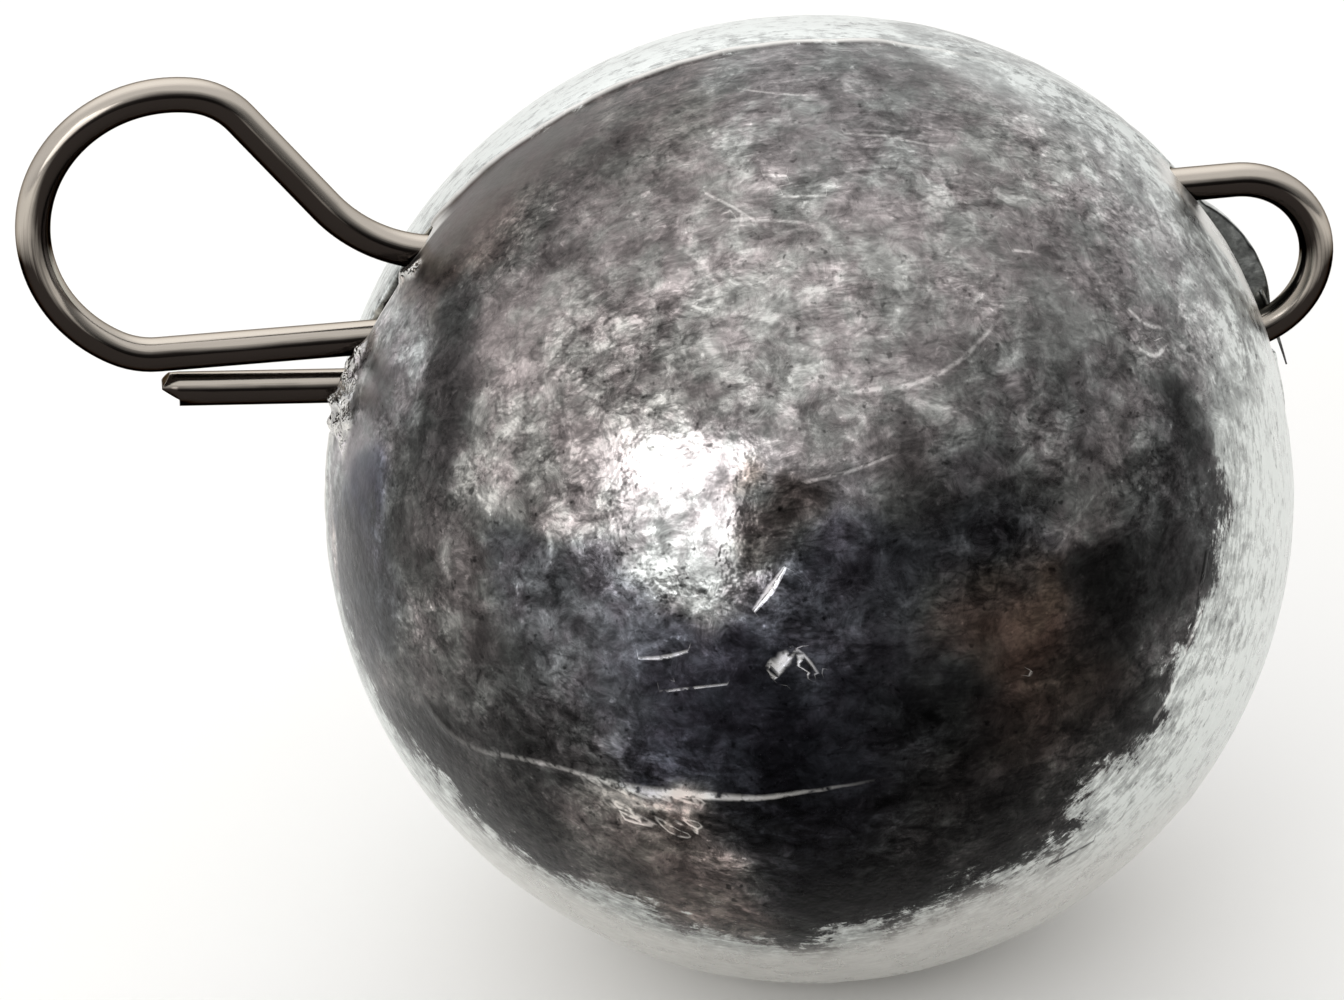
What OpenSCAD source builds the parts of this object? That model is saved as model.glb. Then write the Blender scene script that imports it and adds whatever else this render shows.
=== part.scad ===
// Ball sinker with a removable spring-wire clip.
// A lead ball is cast round a flat slot, and one bent wire slides through that slot.
// The wire makes a small line eye on one side of the ball and a hook loop on the other.
// X runs along the slot with the eye at +X, Y crosses the parting plane, Z is up.
// The origin is the middle of the small flat that the trimmed gate leaves under the ball.

/* [Ball] */
// Diameter of the cast ball
ball_d = 25.6; // [23:0.1:30]
// Diameter of the flat left where the gate was trimmed off, on which the ball stands
gate_d = 6; // [4:0.5:8]
// Sideways mismatch between the two mould halves, along X
half_shift = 0.15; // [0:0.05:0.2]

/* [Flash line] */
// Height of the flash that stands proud round the parting line
flash_h = 0.2; // [0.1:0.05:0.25]
// Width of the flash where it leaves the ball
flash_foot_w = 0.5; // [0.4:0.05:0.8]
// Width of the flash along its crest
flash_crest_w = 0.12; // [0.06:0.02:0.2]

/* [Slot] */
// Height of the slot's middle above the centre of the ball
slot_rise = 6; // [5.4:0.1:6.6]
// Clearance between the wire and each flat wall of the slot
slot_side_gap = 0.1; // [0.05:0.05:0.2]
// Clearance above and below the wire's eye, which is the widest thing that the slot passes
slot_end_gap = 0.1; // [0.05:0.05:0.2]

/* [Lips of cast lead at the slot] */
// Radius of the swollen lip behind the eye
eye_lip_r = 3.8; // [3.2:0.1:4.4]
// Height of that lip above the ball
eye_lip_proud = 0.7; // [0.3:0.05:0.9]
// Where that lip sits round the ball, up from +X
eye_lip_angle = 25; // [22:1:28]
// Radius of the lip pushed up in front of the wire's ends
loop_lip_r = 2.4; // [2:0.1:3]
// Height of that lip above the ball
loop_lip_proud = 0.35; // [0.2:0.05:0.5]
// Where that lip sits round the ball, up from -X
loop_lip_angle = 22; // [19:1:25]

/* [Wire] */
// Diameter of the spring wire
wire_d = 0.9; // [0.8:0.05:1]
// How far the sharp edge that the cutters leave at each end lies off the wire's axis
nose_edge_off = 0.13; // [0:0.01:0.2]
// Angle between the wire's axis and the long bevel of that nipped nose
nose_long_bevel = 35; // [30:1:45]
// Angle between the wire's axis and its short bevel
nose_short_bevel = 56; // [45:1:65]

/* [Line eye] */
// Clear width inside the eye
eye_inner_d = 3.54; // [3:0.02:4]
// How far the middle of the eye stands out of the ball
eye_stand_out = 0.1; // [0:0.05:0.6]
// Slope of the leg above, which comes down towards the hook loop
top_lean = 0.7; // [0:0.1:1.2]
// Slope of the leg below, which rises towards the hook loop
bottom_lean = 1.6; // [1:0.1:2]

/* [Hook loop] */
// Clear width inside the loop
loop_inner_d = 6.4; // [5.8:0.1:7.2]
// Radius of the tighter bend where the neck turns into the loop
shoulder_r = 1.9; // [1.5:0.1:2.4]
// Turn of that bend
shoulder_turn = 43; // [30:1:55]
// Radius of the tighter bend where the loop turns back to the ball
heel_r = 2.1; // [1.6:0.1:2.6]
// Turn of that bend
heel_turn = 30; // [20:1:40]
// Radius of the bend that lifts the neck out of the slot
neck_r = 3.9; // [3:0.1:4.5]
// Climb of the straight neck above the slot's line
neck_climb = 52.5; // [48:0.5:57]
// How far inside the ball the neck's bend starts
neck_tuck = 0.75; // [0.5:0.05:1.2]

/* [Ends of the wire] */
// Gap between the loop's foot and the free end, at the ball
foot_gap = 0.4; // [0.35:0.01:0.6]
// Length of the loop's foot that is tucked into the ball
foot_tuck = 6.8; // [4:0.1:9]
// Length of the free end outside the ball
tail_out = 3.7; // [2.5:0.1:4.5]
// Radius of the slight bend where the free end leaves the slot
tail_bend_r = 20; // [10:1:30]
// Lift of the free end at that bend
tail_lift = 2.4; // [1:0.1:3]
// How far inside the ball that bend starts
tail_tuck = 0.8; // [0.5:0.05:1.5]

/* [Hidden] */
$fn = 96;
wire_fn = 32;

// Ball: its radius, and the height of its centre above the flat
ball_r = ball_d / 2;
ball_z = sqrt(pow(ball_r, 2) - pow(gate_d / 2, 2));
// Depth of the flash's root inside the ball
flash_root = half_shift + flash_foot_w / 2;
// Reach of the blocks that halve and cut the ball
reach = 2 * ball_r;

// Wire radii, measured to the wire's axis
eye_r = (eye_inner_d + wire_d) / 2;
loop_r = (loop_inner_d + wire_d) / 2;

// Length of the nipped nose, from its edge to where the longer of its bevels ends
nose_l = max(
    (wire_d / 2 - nose_edge_off) / tan(nose_long_bevel),
    (wire_d / 2 + nose_edge_off) / tan(nose_short_bevel)
);

// Band that joins two runs of the wire
splice_w = wire_d / 16;
splice_over = wire_d / 400;

// Slot
slot_w = wire_d + 2 * slot_side_gap;
slot_h = 2 * eye_r + wire_d + 2 * slot_end_gap;

// Distance from the ball's upright axis to its surface, at a height above its centre
function mouth_x(z) = sqrt(pow(ball_r, 2) - pow(z, 2));

// A pose of the bending head is [x, z, heading]: z is above the ball's centre and the
// heading is in degrees from +X towards +Z
function fed(pose, feed) = [
    pose[0] + feed * cos(pose[2]),
    pose[1] + feed * sin(pose[2]),
    pose[2]
];
function bent(pose, r, turn) = [
    pose[0] + sign(turn) * r * (sin(pose[2] + turn) - sin(pose[2])),
    pose[1] + sign(turn) * r * (cos(pose[2]) - cos(pose[2] + turn)),
    pose[2] + turn
];
// Pose after the rows of a bend table, each [feed, bend radius, turn]
function after(pose, rows, i = 0) =
    i == len(rows) ? pose : after(bent(fed(pose, rows[i][0]), rows[i][1], rows[i][2]), rows, i + 1);

// The wire is bent both ways from the outermost point of its eye
eye_x = mouth_x(slot_rise) + eye_stand_out;
eye_tip_up = [eye_x + eye_r, slot_rise, 90];
eye_tip_down = [eye_x + eye_r, slot_rise, -90];

// Lower leg and free end
tail_x = -mouth_x(slot_rise - eye_r) + tail_tuck;
bottom_leg = (eye_x - eye_r * sin(bottom_lean) - tail_x) / cos(bottom_lean);
tail_start = after(eye_tip_down, [[0, eye_r, -90 - bottom_lean], [bottom_leg, tail_bend_r, -tail_lift]]);
tail_l = tail_tuck + tail_out - nose_l;
TAIL_ROWS = [
    [0, eye_r, -90 - bottom_lean],
    [bottom_leg, tail_bend_r, -tail_lift],
    [tail_l, 0, 0]
];

// Upper leg, neck, loop and foot
neck_x = -mouth_x(slot_rise + eye_r) + neck_tuck;
top_leg = (eye_x - eye_r * sin(top_lean) - neck_x) / cos(top_lean);
foot_z = tail_start[1] + wire_d + foot_gap;
// Rows as far as the foot, for a given straight length of neck
function loop_rows(neck_l) = [
    [0, eye_r, 90 + top_lean],
    [top_leg, neck_r, -neck_climb - top_lean],
    [neck_l, shoulder_r, shoulder_turn],
    [0, loop_r, 180 + neck_climb - shoulder_turn - heel_turn],
    [0, heel_r, heel_turn]
];
// The neck is as long as brings the foot of the loop down between the two legs
neck_l = (foot_z - after(eye_tip_up, loop_rows(0))[1]) / sin(neck_climb);
foot_start = after(eye_tip_up, loop_rows(neck_l));
foot_l = foot_tuck - mouth_x(foot_z) - foot_start[0] - nose_l;
LOOP_ROWS = concat(loop_rows(neck_l), [[foot_l, 0, 0]]);

// Half of all space: side is -1 in front of the parting plane and 1 behind it
module half_space(side) {
    translate([-reach, min(side, 0) * reach, -reach])
        cube([2 * reach, reach, 2 * reach]);
}

// The lead of one mould half; the half behind sits a little to one side
module cast_half(side) {
    intersection() {
        translate([max(side, 0) * half_shift, 0, 0])
            sphere(r = ball_r);
        half_space(side);
    }
}

// Ring of flash squeezed out between the mould halves
module flash_ring() {
    rotate([90, 0, 0])
        rotate_extrude()
            polygon([
                [ball_r - flash_root, -flash_foot_w / 2],
                [ball_r - half_shift, -flash_foot_w / 2],
                [ball_r + flash_h, -flash_crest_w / 2],
                [ball_r + flash_h, flash_crest_w / 2],
                [ball_r - half_shift, flash_foot_w / 2],
                [ball_r - flash_root, flash_foot_w / 2]
            ]);
}

// Swollen lip of lead on one wall of the slot: angle is where it sits round the ball,
// up from +X, and side says which wall carries it
module slot_lip(r, proud, angle, side) {
    out = ball_r + proud - r;
    intersection() {
        translate([out * cos(angle), side * slot_w / 2, out * sin(angle)])
            sphere(r = r);
        half_space(side);
    }
}

// Slot with round ends, right through the ball along X
module slot_cut() {
    flat_h = slot_h - slot_w;
    translate([-reach, 0, slot_rise])
        rotate([90, 0, 90]) {
            linear_extrude(height = 2 * reach)
                square([slot_w, flat_h], center = true);
            for (up = [-1, 1])
                translate([0, up * flat_h / 2, 0])
                    cylinder(h = 2 * reach, d = slot_w);
        }
}

// Cut across the gate, which leaves the flat under the ball
module gate_cut() {
    translate([-reach, -reach, -ball_z - reach])
        cube([2 * reach, 2 * reach, reach]);
}

// Cast lead ball with its parting flash, its slot and the flat under it
module lead_ball() {
    color("dimgray")
        translate([0, 0, ball_z])
            difference() {
                union() {
                    cast_half(-1);
                    cast_half(1);
                    flash_ring();
                    slot_lip(eye_lip_r, eye_lip_proud, eye_lip_angle, 1);
                    slot_lip(loop_lip_r, loop_lip_proud, 180 - loop_lip_angle, -1);
                }
                slot_cut();
                gate_cut();
            }
}

// Thin band round the wire where two runs meet, a hair wider than the wire, which makes
// them one solid
module wire_splice(pose) {
    translate([pose[0], pose[1], 0])
        rotate([0, 90, pose[2]])
            cylinder(h = splice_w, r = wire_d / 2 + splice_over, center = true, $fn = wire_fn);
}

// Straight run of wire from a pose
module wire_run(pose, feed) {
    translate([pose[0], pose[1], 0])
        rotate([0, 90, pose[2]])
            cylinder(h = feed, d = wire_d, $fn = wire_fn);
}

// Bend in the wire from a pose
module wire_bend(pose, r, turn) {
    side = sign(turn);
    translate([pose[0] - side * r * sin(pose[2]), pose[1] + side * r * cos(pose[2]), 0])
        rotate([0, 0, pose[2] + min(turn, 0) - side * 90])
            rotate_extrude(angle = abs(turn))
                translate([r, 0])
                    circle(d = wire_d, $fn = wire_fn);
}

// End of the wire from a pose, nipped to a wedge by side cutters
module wire_nose(pose) {
    block = 2 * wire_d;
    translate([pose[0], pose[1], 0])
        rotate([0, 0, pose[2]])
            difference() {
                rotate([0, 90, 0])
                    cylinder(h = nose_l, d = wire_d, $fn = wire_fn);
                translate([nose_l, -nose_edge_off, 0]) {
                    rotate([0, 0, nose_long_bevel])
                        translate([-block, -block, -block / 2])
                            cube([2 * block, block, block]);
                    rotate([0, 0, -nose_short_bevel])
                        translate([-block, 0, -block / 2])
                            cube([2 * block, block, block]);
                }
            }
}

// Wire laid along the rows of a bend table, with a nipped nose at its end
module bent_wire(start, rows) {
    for (i = [0:len(rows) - 1]) {
        pose = after(start, [for (k = [0:1:i - 1]) rows[k]]);
        wire_splice(pose);
        if (rows[i][0] > 0) {
            wire_run(pose, rows[i][0]);
            wire_splice(fed(pose, rows[i][0]));
        }
        if (rows[i][2] != 0)
            wire_bend(fed(pose, rows[i][0]), rows[i][1], rows[i][2]);
    }
    wire_nose(after(start, rows));
}

// Spring clip: one wire with the line eye, the hook loop and both its ends
module wire_clip() {
    color("slategray")
        translate([0, 0, ball_z])
            rotate([90, 0, 0]) {
                bent_wire(eye_tip_up, LOOP_ROWS);
                bent_wire(eye_tip_down, TAIL_ROWS);
            }
}

lead_ball();
wire_clip();
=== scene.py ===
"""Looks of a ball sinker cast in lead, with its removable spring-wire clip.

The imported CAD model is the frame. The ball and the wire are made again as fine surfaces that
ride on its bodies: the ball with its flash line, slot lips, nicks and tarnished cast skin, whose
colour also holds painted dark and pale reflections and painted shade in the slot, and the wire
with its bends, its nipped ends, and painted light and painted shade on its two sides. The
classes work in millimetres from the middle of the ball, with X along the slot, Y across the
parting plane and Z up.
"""

from __future__ import annotations

import logging
import math
from dataclasses import dataclass, field, fields
from enum import Enum, IntEnum

import bpy
import numpy as np
from mathutils import Matrix

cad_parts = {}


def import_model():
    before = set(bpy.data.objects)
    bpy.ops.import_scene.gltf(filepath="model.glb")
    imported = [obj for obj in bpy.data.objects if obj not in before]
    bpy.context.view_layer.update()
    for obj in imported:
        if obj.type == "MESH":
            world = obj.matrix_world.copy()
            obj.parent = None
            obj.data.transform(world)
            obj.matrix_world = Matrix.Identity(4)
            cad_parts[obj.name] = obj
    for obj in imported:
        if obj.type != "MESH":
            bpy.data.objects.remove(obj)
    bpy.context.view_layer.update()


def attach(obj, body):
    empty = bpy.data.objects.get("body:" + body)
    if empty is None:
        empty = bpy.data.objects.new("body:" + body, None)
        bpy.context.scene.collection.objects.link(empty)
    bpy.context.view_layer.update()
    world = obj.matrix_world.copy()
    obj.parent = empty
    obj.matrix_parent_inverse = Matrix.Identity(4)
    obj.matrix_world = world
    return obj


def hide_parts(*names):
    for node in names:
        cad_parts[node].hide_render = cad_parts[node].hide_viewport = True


MM = 0.001
Array = np.ndarray
Point = tuple[float, float, float]
log = logging.getLogger("ball_sinker")


class Axis(IntEnum):
    """The place of each coordinate in a point."""

    X = 0
    Y = 1
    Z = 2


class Seed(IntEnum):
    """Seeds of the noises that are worked out here, the first of each where it has several."""

    FLASH = 31
    FLASH_FINE = 32
    WAVES = 41
    WANDER = 51
    WANDER_FINE = 61
    GRAIN = 71


# Small shared functions


def linear(hex_colour: str) -> tuple[float, float, float, float]:
    """Turns an sRGB hex colour into linear RGBA.

    Each channel c becomes c / 12.92 below 0.04045 and ((c + 0.055) / 1.055) ^ 2.4 above.

    Args:
        hex_colour: six hex digits.

    Returns:
        The linear colour with full alpha.
    """
    channels = [int(hex_colour[i : i + 2], 16) / 255 for i in (0, 2, 4)]
    red, green, blue = (
        c / 12.92 if c <= 0.04045 else ((c + 0.055) / 1.055) ** 2.4 for c in channels
    )
    return red, green, blue, 1.0


def add_node(
    tree: bpy.types.NodeTree,
    kind: str,
    settings: dict | None = None,
    inputs: dict | None = None,
    output: int | str = 0,
) -> bpy.types.NodeSocket | None:
    """Adds one node with its settings and its inputs.

    Args:
        tree: the node tree that takes the node.
        kind: the node's type name.
        settings: values by property name.
        inputs: a socket to link, or a value to set, by input name or number.
        output: the output that is wanted, by name or number.

    Returns:
        That output, or nothing where the node has none.
    """
    node = tree.nodes.new(kind)
    for key, value in (settings or {}).items():
        setattr(node, key, value)
    for key, value in (inputs or {}).items():
        if isinstance(value, bpy.types.NodeSocket):
            tree.links.new(value, node.inputs[key])
        else:
            node.inputs[key].default_value = value
    return node.outputs[output] if len(node.outputs) else None


@dataclass(frozen=True)
class Rise:
    """A smooth step of a value: 0 where it is low and 1 where it is high."""

    name: str
    of: str
    low: float
    high: float


@dataclass(frozen=True)
class Sum:
    """Terms added to a start: each is a value, its weight, and any masks that scale it."""

    name: str
    start: str | float
    terms: tuple[tuple, ...]


def weave(tree: bpy.types.NodeTree, values: dict, rows: list[Rise | Sum]) -> None:
    """Works out one value after another in a material, each from those before it.

    Args:
        tree: the material's node tree.
        values: sockets by name, to which the new ones are added.
        rows: the steps and sums in order.
    """
    for row in rows:
        if isinstance(row, Rise):
            values[row.name] = add_node(
                tree,
                "ShaderNodeMapRange",
                {"interpolation_type": "SMOOTHSTEP"},
                {"Value": values[row.of], "From Min": row.low, "From Max": row.high},
            )
            continue
        reached = values.get(row.start, row.start)
        for of, weight, *masks in row.terms:
            value = values[of]
            for mask in masks:
                value = add_node(
                    tree, "ShaderNodeMath", {"operation": "MULTIPLY"}, {0: value, 1: values[mask]}
                )
            reached = add_node(
                tree,
                "ShaderNodeMath",
                {"operation": "MULTIPLY_ADD"},
                {0: value, 1: weight, 2: reached},
            )
        values[row.name] = reached


def ease(value: Array, low: float, high: float) -> Array:
    """Rises from 0 at low to 1 at high along 3t^2 - 2t^3; low may be the larger of the two."""
    t = np.clip((value - low) / (high - low), 0, 1)
    return t * t * (3 - 2 * t)


def unit(vectors: Array) -> Array:
    """Scales vectors along the last axis to length one."""
    return vectors / np.linalg.norm(vectors, axis=-1, keepdims=True)


def bell(gap: Array, radius: float, power: int = 2) -> Array:
    """Falls from 1 at a mark's middle to 0 well past its radius, as e^-(gap / radius)^power."""
    return np.exp(-((gap / radius) ** power))


def spread(low: float, high: float, count: int, crowds: list[tuple[float, float, float]]) -> Array:
    """Places values from low to high, closer together where they are crowded.

    The density is 1 plus, for each crowd, its extra density times a bell curve of its width,
    and the values sit at equal steps of the density's running sum.

    Args:
        low: first value.
        high: last value.
        count: how many values.
        crowds: middle, width and extra density of each crowd.

    Returns:
        The values in rising order.
    """
    fine = np.linspace(low, high, 20001)
    density = np.ones_like(fine)
    for middle, width, extra in crowds:
        density += extra * np.exp(-(((fine - middle) / width) ** 2))
    total = np.concatenate([[0], np.cumsum((density[1:] + density[:-1]) / 2)])
    return np.interp(np.linspace(0, total[-1], count), total, fine)


def lattice_noise(points: Array, cell: float, seed: int) -> Array:
    """Smooth gradient noise, about -1 to 1.

    Every corner of a cubic lattice holds a random unit gradient. A point takes the dot product
    of gradient and offset at its eight corners, blended by 6t^5 - 15t^4 + 10t^3 along each axis.

    Args:
        points: places, in millimetres.
        cell: size of a lattice cell, in millimetres.
        seed: picks the gradients.

    Returns:
        One value for each point.
    """
    rng = np.random.default_rng(seed)
    gradients = unit(rng.normal(size=(256, 3)))
    shuffle = rng.permutation(256)
    scaled = points / cell
    base = np.floor(scaled).astype(np.int64)
    inside = scaled - base
    fade = inside**3 * (inside * (inside * 6 - 15) + 10)
    total = np.zeros(points.shape[:-1])
    for corner in np.ndindex(2, 2, 2):
        node = base + corner
        key = shuffle[node[..., 2] & 255]
        key = shuffle[(node[..., 1] + key) & 255]
        key = shuffle[(node[..., 0] + key) & 255]
        weight = np.prod(np.where(corner, fade, 1 - fade), axis=-1)
        total += weight * np.sum(gradients[key] * (inside - corner), axis=-1)
    return 1.6 * total


def mesh_object(
    name: str, vertices: Array, faces: Array, attributes: dict[str, Array]
) -> bpy.types.Object:
    """Puts a surface into a new smooth-shaded mesh object at the origin.

    Args:
        name: the piece's name.
        vertices: places in millimetres above the rest plane.
        faces: four vertex numbers for each face, turned outwards.
        attributes: a value or a vector for each vertex, by attribute name.

    Returns:
        The object, linked to the scene.
    """
    mesh = bpy.data.meshes.new(name)
    mesh.from_pydata((vertices * MM).tolist(), [], faces.tolist())
    for key, values in attributes.items():
        kind, slot = ("FLOAT", "value") if values.ndim == 1 else ("FLOAT_VECTOR", "vector")
        attribute = mesh.attributes.new(key, kind, "POINT")
        attribute.data.foreach_set(slot, values.astype(np.float32).ravel())
    mesh.polygons.foreach_set("use_smooth", np.ones(len(faces), bool))
    mesh.update()
    made = bpy.data.objects.new(name, mesh)
    bpy.context.scene.collection.objects.link(made)
    return made


def sewn(faces: Array, rows: int, columns: int) -> Array:
    """Closes a tube whose first and last rings are flat, by sharing the vertices of their sides.

    On the first and last ring, column k and column n - k lie on the same point.

    Args:
        faces: vertex numbers of the open tube's faces.
        rows: number of rings.
        columns: points in each ring.

    Returns:
        The faces, with one of the two vertices wherever both share a point.
    """
    row, column = np.divmod(faces, columns)
    ends = (row == 0) | (row == rows - 1)
    return row * columns + np.where(ends, np.minimum(column, columns - column), column)


def ring_faces(rows: int, columns: int, closed: bool) -> Array:
    """Faces of a grid whose columns close into rings.

    Args:
        rows: number of rings.
        columns: points in each ring.
        closed: whether the last ring joins the first.

    Returns:
        Four vertex numbers for each face.
    """
    row = np.arange(rows if closed else rows - 1)[:, None]
    column = np.arange(columns)[None, :]
    after_row, after_column = (row + 1) % rows, (column + 1) % columns
    quad = [(row, column), (row, after_column), (after_row, after_column), (after_row, column)]
    return np.stack([r * columns + c for r, c in quad], axis=-1).reshape(-1, 4)


# Finishes


class Skin(Enum):
    """Values that the ball's mesh gives its material.

    TONE is the brightness as a logarithm, of the tarnish with painted dark reflection on the near
    face and painted shade in the slot, and WARMTH its place from blue to brown. GRAIN and STREAKS
    scale the natural grain and the fine lines that handling leaves. DULL is the roughness,
    RUB_AND_PAINTED_LIGHT the share of bright metal colour, which is bare metal and painted pale
    reflection, and PALE the share of neutral colour of the painted pale haze. RIM is the way past
    the dark face's edge in millimetres, BAND the share of the painted pale reflection band there,
    and SWIRL the place that its brushing is read at. SCORE_ACROSS and SCORE_DEPTH are the gap to a
    scratch in its widths, and its shine. TORN marks the burrs.
    """

    TONE = "tone"
    WARMTH = "warmth"
    GRAIN = "grain"
    STREAKS = "streaks"
    DULL = "dull"
    RUB_AND_PAINTED_LIGHT = "rub_and_painted_light"
    PALE = "pale"
    RIM = "rim"
    BAND = "band"
    SWIRL = "swirl"
    SCORE_ACROSS = "score_across"
    SCORE_DEPTH = "score_depth"
    TORN = "torn"


@dataclass(frozen=True)
class Grain:
    """One layer of natural noise: its size in millimetres, its finer layers, and its stretch.

    The stretch makes it that many times longer along X, or round the rim where it swirls. The
    warp makes its grains wavy. An edge turns it into flakes of two levels that meet within that
    step of the noise.
    """

    size_mm: float
    layers: float
    fall: float = 0.6
    stretch: float = 1.0
    swirls: bool = False
    edge: float = 0.0
    warp: float = 0.0


@dataclass(frozen=True)
class CastLead:
    """Lead cast in an open-air mould: soft grey metal under a patchy dull tarnish.

    The tarnish makes it a dim mirror of uneven grey, and on the face towards the camera it is
    also painted dark reflection. It ends in a ragged edge round the ball's face, past which a
    painted pale reflection runs as a band brushed along the edge. Rubbed edges and fresh scratches
    show bright metal, and the same bright colour is painted pale reflection on the slot's near lips
    and under the ball. The slot is darkened with painted shade.
    """

    name: str = "cast_lead_tarnish_and_painted_light"
    neutral: str = "fafcfd"
    brown: str = "ffd9c2"
    blue: str = "d6dcff"
    plum: str = "fff5f5"
    moss: str = "fafbf7"
    # The pale colour is that of the painted pale reflection band and haze, and the bright one that
    # of bare metal and of the painted pale reflection on the near lips and under the ball.
    pale: str = "f3f7f4"
    bright: str = "dcdad6"
    # Clouds of thicker and thinner tarnish, where the sinker has lain against others.
    blotch: Grain = Grain(2.6, 3)
    # The skin's own mottle: lead sets in grains of a few tenths of a millimetre to one.
    mottle: Grain = Grain(0.75, 5, 0.8, 1.0, warp=0.5)
    # Plates and smaller flakes of oxide, which meet in clean edges.
    patch: Grain = Grain(1.4, 3, 0.65, 1.2, edge=0.1, warp=0.8)
    flake: Grain = Grain(0.5, 2, 0.7, 1.3, edge=0.08, warp=0.8)
    # Seams between flows of metal in the mould. Real ones are near 0.02 mm wide, and these are
    # twice that, as they wouldn't show in the render.
    vein: Grain = Grain(0.6, 3, 0.65, 3.0)
    # Gas pits and bright flecks, 0.1 to 0.2 mm across.
    speck: Grain = Grain(0.3, 2)
    # The skin that the mould's wall gives, and its finer grit. Real grit is 0.05 mm, and this is
    # three times as coarse, which is as fine as the render shows.
    cast: Grain = Grain(0.42, 2)
    grit: Grain = Grain(0.16, 1)
    # Broad patches of a faint plum or moss cast.
    hue: Grain = Grain(1.5, 3, 0.7)
    # Hairline rubs of a tackle box, and the brushing of the rim, which streaks its painted pale
    # reflection band. Both are 0.02 mm wide on the real one, and drawn 0.05 mm wide and as wavy as
    # they need to be to show.
    rubbed: Grain = Grain(0.2, 3, 0.7, 3.6, warp=0.9)
    brushed: Grain = Grain(0.15, 4, 0.8, 3.5, True)
    # How strongly each of them changes the logarithm of the brightness.
    blotch_depth: float = 1.5
    mottle_depth: float = 2.8
    patch_depth: float = 0.46
    flake_depth: float = 0.28
    vein_depth: float = 0.34
    glint_depth: float = 0.2
    speck_depth: float = 0.7
    fleck_depth: float = 0.55
    rubbed_depth: float = 1.5
    brushed_depth: float = 2.5
    rim_mottle_depth: float = 1.5
    # The bands of the noise, or of a scratch's widths, in which a mark begins and is full.
    pit_band: tuple[float, float] = (0.13, 0.26)
    fleck_band: tuple[float, float] = (-0.15, -0.27)
    broken_band: tuple[float, float] = (-0.2, 0.0)
    vein_band: tuple[float, float] = (0.06, 0.0)
    vein_place_band: tuple[float, float] = (-0.06, 0.06)
    glint_band: tuple[float, float] = (0.1, 0.2)
    score_band: tuple[float, float] = (1.0, 0.1)
    hue_band: tuple[float, float] = (-0.14, 0.14)
    # The painted pale reflection band past the dark face's edge: its brightness at the edge, the
    # rise of it and how far that takes, how ragged the edge is, and how it gives way to the rear's
    # tarnish.
    rim_level: float = 0.44
    rim_rise: float = 0.62
    rim_rise_mm: float = 3.2
    rim_ragged_mm: float = 2.4
    rim_mottled_mm: float = 3.0
    rim_clouded_mm: float = 5.0
    rim_edge_mm: float = 0.36
    rim_width_mm: float = 10.0
    rim_blend_mm: float = 3.5
    score_gain: float = 1.3
    score_wear: float = 0.25
    torn_gain: float = 9.0
    torn_wear: float = -4.0
    brightest: float = 0.78
    mottled_roughness: float = 0.35
    # Heights of the marks in the skin.
    cast_bump_mm: float = 0.010
    grit_bump_mm: float = 0.005
    torn_bump_mm: float = 0.16
    brushed_bump_mm: float = 0.012
    rubbed_bump_mm: float = 0.0036
    score_bump_mm: float = 0.012

    def grains(self, tree: bpy.types.NodeTree, values: dict) -> None:
        """Adds each grain's noise, about -0.5 to 0.5, under the grain's own name.

        Args:
            tree: the material's node tree.
            values: sockets by name, to which the noises are added.
        """
        place = add_node(tree, "ShaderNodeTexCoord", output="Object")
        in_mm = add_node(
            tree, "ShaderNodeVectorMath", {"operation": "SCALE"}, {0: place, "Scale": 1 / MM}
        )
        for entry in fields(self):
            grain = getattr(self, entry.name)
            if not isinstance(grain, Grain):
                continue
            stretched = add_node(
                tree,
                "ShaderNodeVectorMath",
                {"operation": "MULTIPLY"},
                {0: in_mm, 1: (1 / grain.stretch, 1, 1)},
            )
            values[entry.name] = add_node(
                tree,
                "ShaderNodeTexNoise",
                {},
                {
                    "Vector": values[Skin.SWIRL.value] if grain.swirls else stretched,
                    "Scale": 1 / grain.size_mm,
                    "Detail": grain.layers,
                    "Roughness": grain.fall,
                    "Distortion": grain.warp,
                },
            )
            if grain.edge:
                flakes = Rise(entry.name, entry.name, 0.5 - grain.edge, 0.5 + grain.edge)
                weave(tree, values, [flakes])
            values[entry.name] = add_node(
                tree, "ShaderNodeMath", {"operation": "SUBTRACT"}, {0: values[entry.name], 1: 0.5}
            )

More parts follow.
